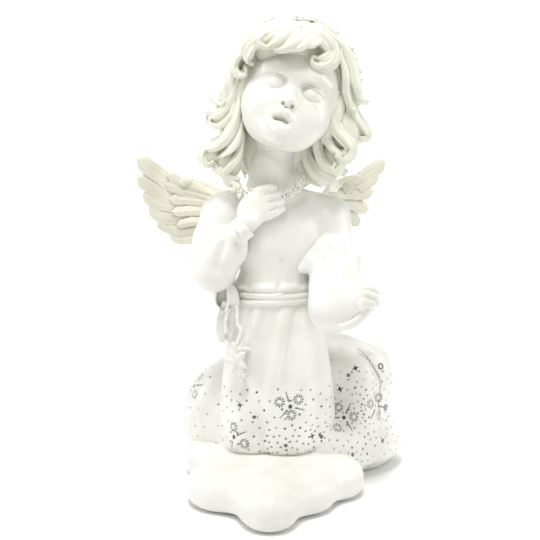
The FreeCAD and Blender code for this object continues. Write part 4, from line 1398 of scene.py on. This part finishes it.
# ---------------------------------------------------------------- flower crown and necklace
def blossom(centre, out, radius, turn, petals=5):
    """A small open flower facing out: cupped petals round a button."""
    out = unit(out)
    across = unit(np.cross((0.2, 0.3, 1), out))
    up = np.cross(out, across)
    c = np.asarray(centre, float)
    shells = [oval_shell(c + 0.32 * radius * out, (0.27 * radius,) * 3, None, 12, 8)]
    for k in range(petals):
        a = math.radians(turn + 360 * k / petals)
        along = across * math.cos(a) + up * math.sin(a)
        frame_of = np.column_stack([along, np.cross(out, along), out])
        lean = frame_of @ rotation((0, 1, 0), -24)
        shells.append(oval_shell(c + 0.62 * radius * along + 0.1 * radius * out,
                                 (0.47 * radius, 0.40 * radius, 0.2 * radius), lean, 14, 8))
    return shells


def leaf(base, tip, width, out):
    path = curve([base, (base + tip) / 2 + 0.35 * unit(out), tip], 14)
    wide = width * np.sin(0.25 + 2.7 * np.linspace(0, 1, 14)) ** 0.8
    return sweep(path, wide, 0.34 * width, np.cross(unit(tip - base), out), around=12)


def make_crown():
    shells = []
    count = 21
    for k in range(count):
        a = math.radians(-6 + 192 * k / (count - 1))
        y = 0.5 - 2.5 * math.sin(a)
        spot, ahead = (on_head(24.3 * math.cos(t), y, 8.2 + 25.6 * math.sin(t)) for t in (a, a + 0.09))
        out = unit(unit(spot - HAIR_HEART) + 0.55 * HEAD_FRONT)
        along = unit(ahead - spot)
        if k % 2 == 0:
            shells += blossom(spot + 0.3 * out, out, 2.8, 20 * k)
        else:
            cross = unit(np.cross(along, out))
            for sign in (-1, 1):
                tip = spot + 1.6 * along * sign + 2.5 * sign * cross + 0.9 * out
                shells.append(leaf(spot - 0.8 * along, tip, 0.95, out))
        stem = curve([spot - 1.7 * along, spot, spot + 1.7 * along], 8)
        shells.append(sweep(stem, 0.8, 0.8, out, around=8))
    cast("flower_crown", shells, 0.24, 1, GARLAND, hollow=0.15)


NECKLACE = [(-12.2, -9, 126.8), (-9, -10.4, 127), (-5.4, -10.6, 126.4), (-1.4, -11.2, 125.4),
            (2.4, -11.4, 125), (5.6, -11, 125.7), (9, -9.9, 127.4), (11.8, -7.8, 129.4),
            (13.6, -4.6, 131.8), (13.4, -1, 134.4), (11.8, 2.6, 136.2)]


def make_necklace():
    shells = []
    for k, p in enumerate(evenly(NECKLACE, 15)):
        out = unit(p - np.array([1.2, 3, p[2] + 1]))
        out = unit(out + (0, 0, 0.25))
        shells += blossom(p + (0, 0, 0.55 * (-1) ** k), out, 1.75, 30 * k)
        shells += blossom(p + (0, 0, -1.25 * (-1) ** k) + 0.2 * out, out, 1.25, 17 * k, 4)
    cast("necklace", shells, 0.2, 1, GARLAND, hollow=0.12)


# ---------------------------------------------------------------- wings
# Feathers: half width, then points x and z from root to tip. The first rows are the long ones.
RIGHT_FEATHERS = [
    (4.3, [(-30, 122.5), (-42, 127.5), (-49.5, 132.5), (-55.5, 136.5), (-60, 140)]),
    (3.9, [(-29, 120.5), (-43.5, 122.5), (-52, 126.5), (-56.5, 129), (-60, 131.5)]),
    (3.5, [(-28, 118.5), (-40, 118.5), (-48.5, 119.5), (-54, 121.5), (-57.5, 124)]),
    (3.5, [(-27, 115), (-39.5, 113.5), (-47, 113.5), (-51.5, 115.2), (-55, 117.6)]),
    (3.2, [(-26, 110.5), (-39.5, 108), (-44, 108.3), (-48.5, 110), (-51, 112)]),
    (2.6, [(-26, 107), (-36, 104), (-41.5, 103.8), (-45.5, 105.8)]),
]
RIGHT_COVERTS = [
    (2.5, [(-30, 126), (-38.5, 129), (-42, 131), (-46, 133)]),
    (2.5, [(-29, 123.5), (-38.5, 125.6), (-42.5, 127.2), (-46.5, 128.6)]),
    (2.4, [(-28, 121), (-36.5, 121.8), (-41, 121.6), (-45, 122.2)]),
    (2.4, [(-27, 117), (-36, 116.8), (-40, 116.4), (-44, 116.4)]),
    (2.2, [(-26, 112.5), (-35.5, 111.8), (-38.5, 111), (-42, 110.2)]),
    (2.3, [(-24, 126), (-31, 128), (-36, 130), (-39.5, 130.8)]),
    (2.2, [(-24, 122), (-29.5, 124), (-34, 125.4), (-37.5, 126)]),
]
LEFT_FEATHERS = [
    (3.9, [(27, 125), (39, 129.5), (45, 133), (49.5, 136), (52.6, 138.8)]),
    (3.3, [(27, 123.5), (39, 127), (44.5, 129), (50, 131)]),
    (3.1, [(27, 121.5), (38, 123.4), (43, 123.6), (47.5, 125)]),
    (3.1, [(27, 118.5), (38.5, 118.5), (42.5, 117.2), (45.5, 117.2)]),
    (2.9, [(27, 116), (36.5, 114.5), (39, 111.5), (40.4, 108.8)]),
]
LEFT_COVERTS = [
    (2.2, [(27, 127), (35, 130), (38.5, 130.5), (42, 131.6)]),
    (2.4, [(27, 123.5), (36.5, 123.6), (39, 123.2), (41.8, 123.2)]),
    (2.4, [(27, 119.5), (37.5, 118.6), (40, 117.2), (42.4, 116.6)]),
]


def make_wing(node, root_x, lean, feathers, coverts, boss, boss_radii):
    def on_wing(x, z, off):
        return x, 20 + abs(x - root_x) * lean + off, z

    def feather(half, places, off, depth):
        places = [(1.75 * root_x, 117 + 0.6 * (places[0][1] - 117)), *places]
        path = curve([on_wing(x, z, off) for x, z in places], 46)
        t = np.linspace(0, 1, 46)
        tip = np.sqrt(np.clip(1.02 - smoothstep(0.80, 1, t) ** 1.6, 0.01, 1))
        wide = half * (0.55 + 0.45 * smoothstep(0, 0.4, t)) * tip
        quill = path[3:-4] + (0, -depth * 0.82, 0)
        return [sweep(path, wide, depth, (0, 0, 1), 0, 34, 9, 0.16, 0.6),
                sweep(quill, 0.42 * (1 - 0.6 * t[3:-4]), 0.42, (0, 0, 1), around=8)]

    shells = []
    for k, (half, places) in enumerate(feathers):
        shells += feather(half, places, 0.42 * k, 1.15)
    for k, (half, places) in enumerate(coverts):
        for side in (-1, 1):
            shells += feather(half, places, side * 1.25 + 0.2 * k, 0.95)
    shells.append(oval_shell(on_wing(*boss, -1.6), boss_radii))
    away = math.copysign(1, root_x)
    arm = [(root_x - 2 * away, 13, 117), (root_x + 4 * away, 18, 117.5),
           on_wing(root_x + 12 * away, 118, 0), on_wing(root_x + 19 * away, 119.5, 0)]
    shells.append(sweep(curve(arm, 24), np.linspace(6, 3, 24), np.linspace(2.4, 1, 24), (0, 0, 1), around=20))
    cast(node, shells, 0.3, 2, CREAM, hollow=0.2)


def make_wings():
    make_wing("right_wing", -11, 0.287, RIGHT_FEATHERS, RIGHT_COVERTS, (-37, 129.4), (3.2, 1.5, 2.2))
    make_wing("left_wing", 13, 0.58, LEFT_FEATHERS, LEFT_COVERTS, (34.5, 127), (3.1, 1.7, 3.1))


# ---------------------------------------------------------------- felt and crystals
def finish_kept(node, material):
    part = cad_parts[node]
    part.data.materials.clear()
    part.data.materials.append(material)


# ---------------------------------------------------------------- setting
def soft_light(name, place, aim, size, power, cone=None, colour=(1.0, 1.0, 0.98)):
    """A round panel, or a soft-edged spot when cone gives its angle in degrees. Places are in metres."""
    light = bpy.data.lights.new(name, "SPOT" if cone else "AREA")
    if cone:
        light.shadow_soft_size, light.spot_size, light.spot_blend = size / 2, math.radians(cone), 1.0
    else:
        light.shape, light.size = "DISK", size
    light.energy = power
    light.color = colour
    lamp = bpy.data.objects.new(name, light)
    lamp.location = place
    lamp.rotation_euler = (Vector(aim) - Vector(place)).to_track_quat("-Z", "Y").to_euler()
    bpy.context.scene.collection.objects.link(lamp)


def make_setting():
    sweep_up = [(-1200, 0), (350, 0), (600, 30), (780, 120), (880, 300), (900, 1600)]
    points = [(x, y, z) for y, z in sweep_up for x in (-1600, 1600)]
    faces = [(2 * i, 2 * i + 1, 2 * i + 3, 2 * i + 2) for i in range(len(sweep_up) - 1)]
    floor = new_object("floor", points, faces)
    floor.data.materials.append(plain_material("pale_paper", (0.93, 0.93, 0.93), 0.9))

    world = bpy.data.worlds.new("studio")
    world.use_nodes = True
    backing = world.node_tree.nodes["Background"]
    socket(backing, "Color", (1.0, 1.0, 0.94, 1.0))
    socket(backing, "Strength", 0.385)
    bpy.context.scene.world = world

    waist = (0.0, 0.0, 0.09)
    soft_light("key", (-0.04, -0.3, 0.84), waist, 0.25, 3.9)
    soft_light("left side", (-0.65, -0.1, 0.3), waist, 0.4, 1.4)
    soft_light("right side", (0.65, -0.1, 0.3), waist, 0.4, 1.3)
    soft_light("chest spot", (-0.2, -0.55, 0.55), (0.006, 0.0, 0.116), 0.08, 7.0, cone=5.5)
    soft_light("backdrop", (0.0, 0.25, 0.75), (0.0, 0.85, 0.25), 0.5, 4.0, colour=(1.0, 1.0, 1.0))

    camera = bpy.data.cameras.new("camera")
    camera.sensor_width = 36.0
    camera.lens = 63.67
    camera_object = bpy.data.objects.new("camera", camera)
    camera_object.location = (0.0, -0.4, 0.15)
    camera_object.rotation_euler = (math.radians(82.0), 0.0, 0.0)
    bpy.context.scene.collection.objects.link(camera_object)
    bpy.context.scene.camera = camera_object
    bpy.context.scene.view_settings.view_transform = "Standard"


for make in (make_cloud, make_skirt, make_train, make_bodice, make_sash, make_knot, make_tails, make_beads,
             make_stars, make_rose, make_right_sleeve, make_left_sleeve, make_cuffs, make_right_hand,
             make_left_hand, make_head, make_hair, make_crown, make_necklace, make_wings):
    make()
finish_kept("felt_pad", plain_material("felt", (0.55, 0.55, 0.53), 0.95, Sheen_Weight=0.4))
finish_kept("skirt_crystals",
            plain_material("crystal", (0.16, 0.16, 0.15), 0.06, Transmission_Weight=0.25, IOR=1.6))
make_setting()
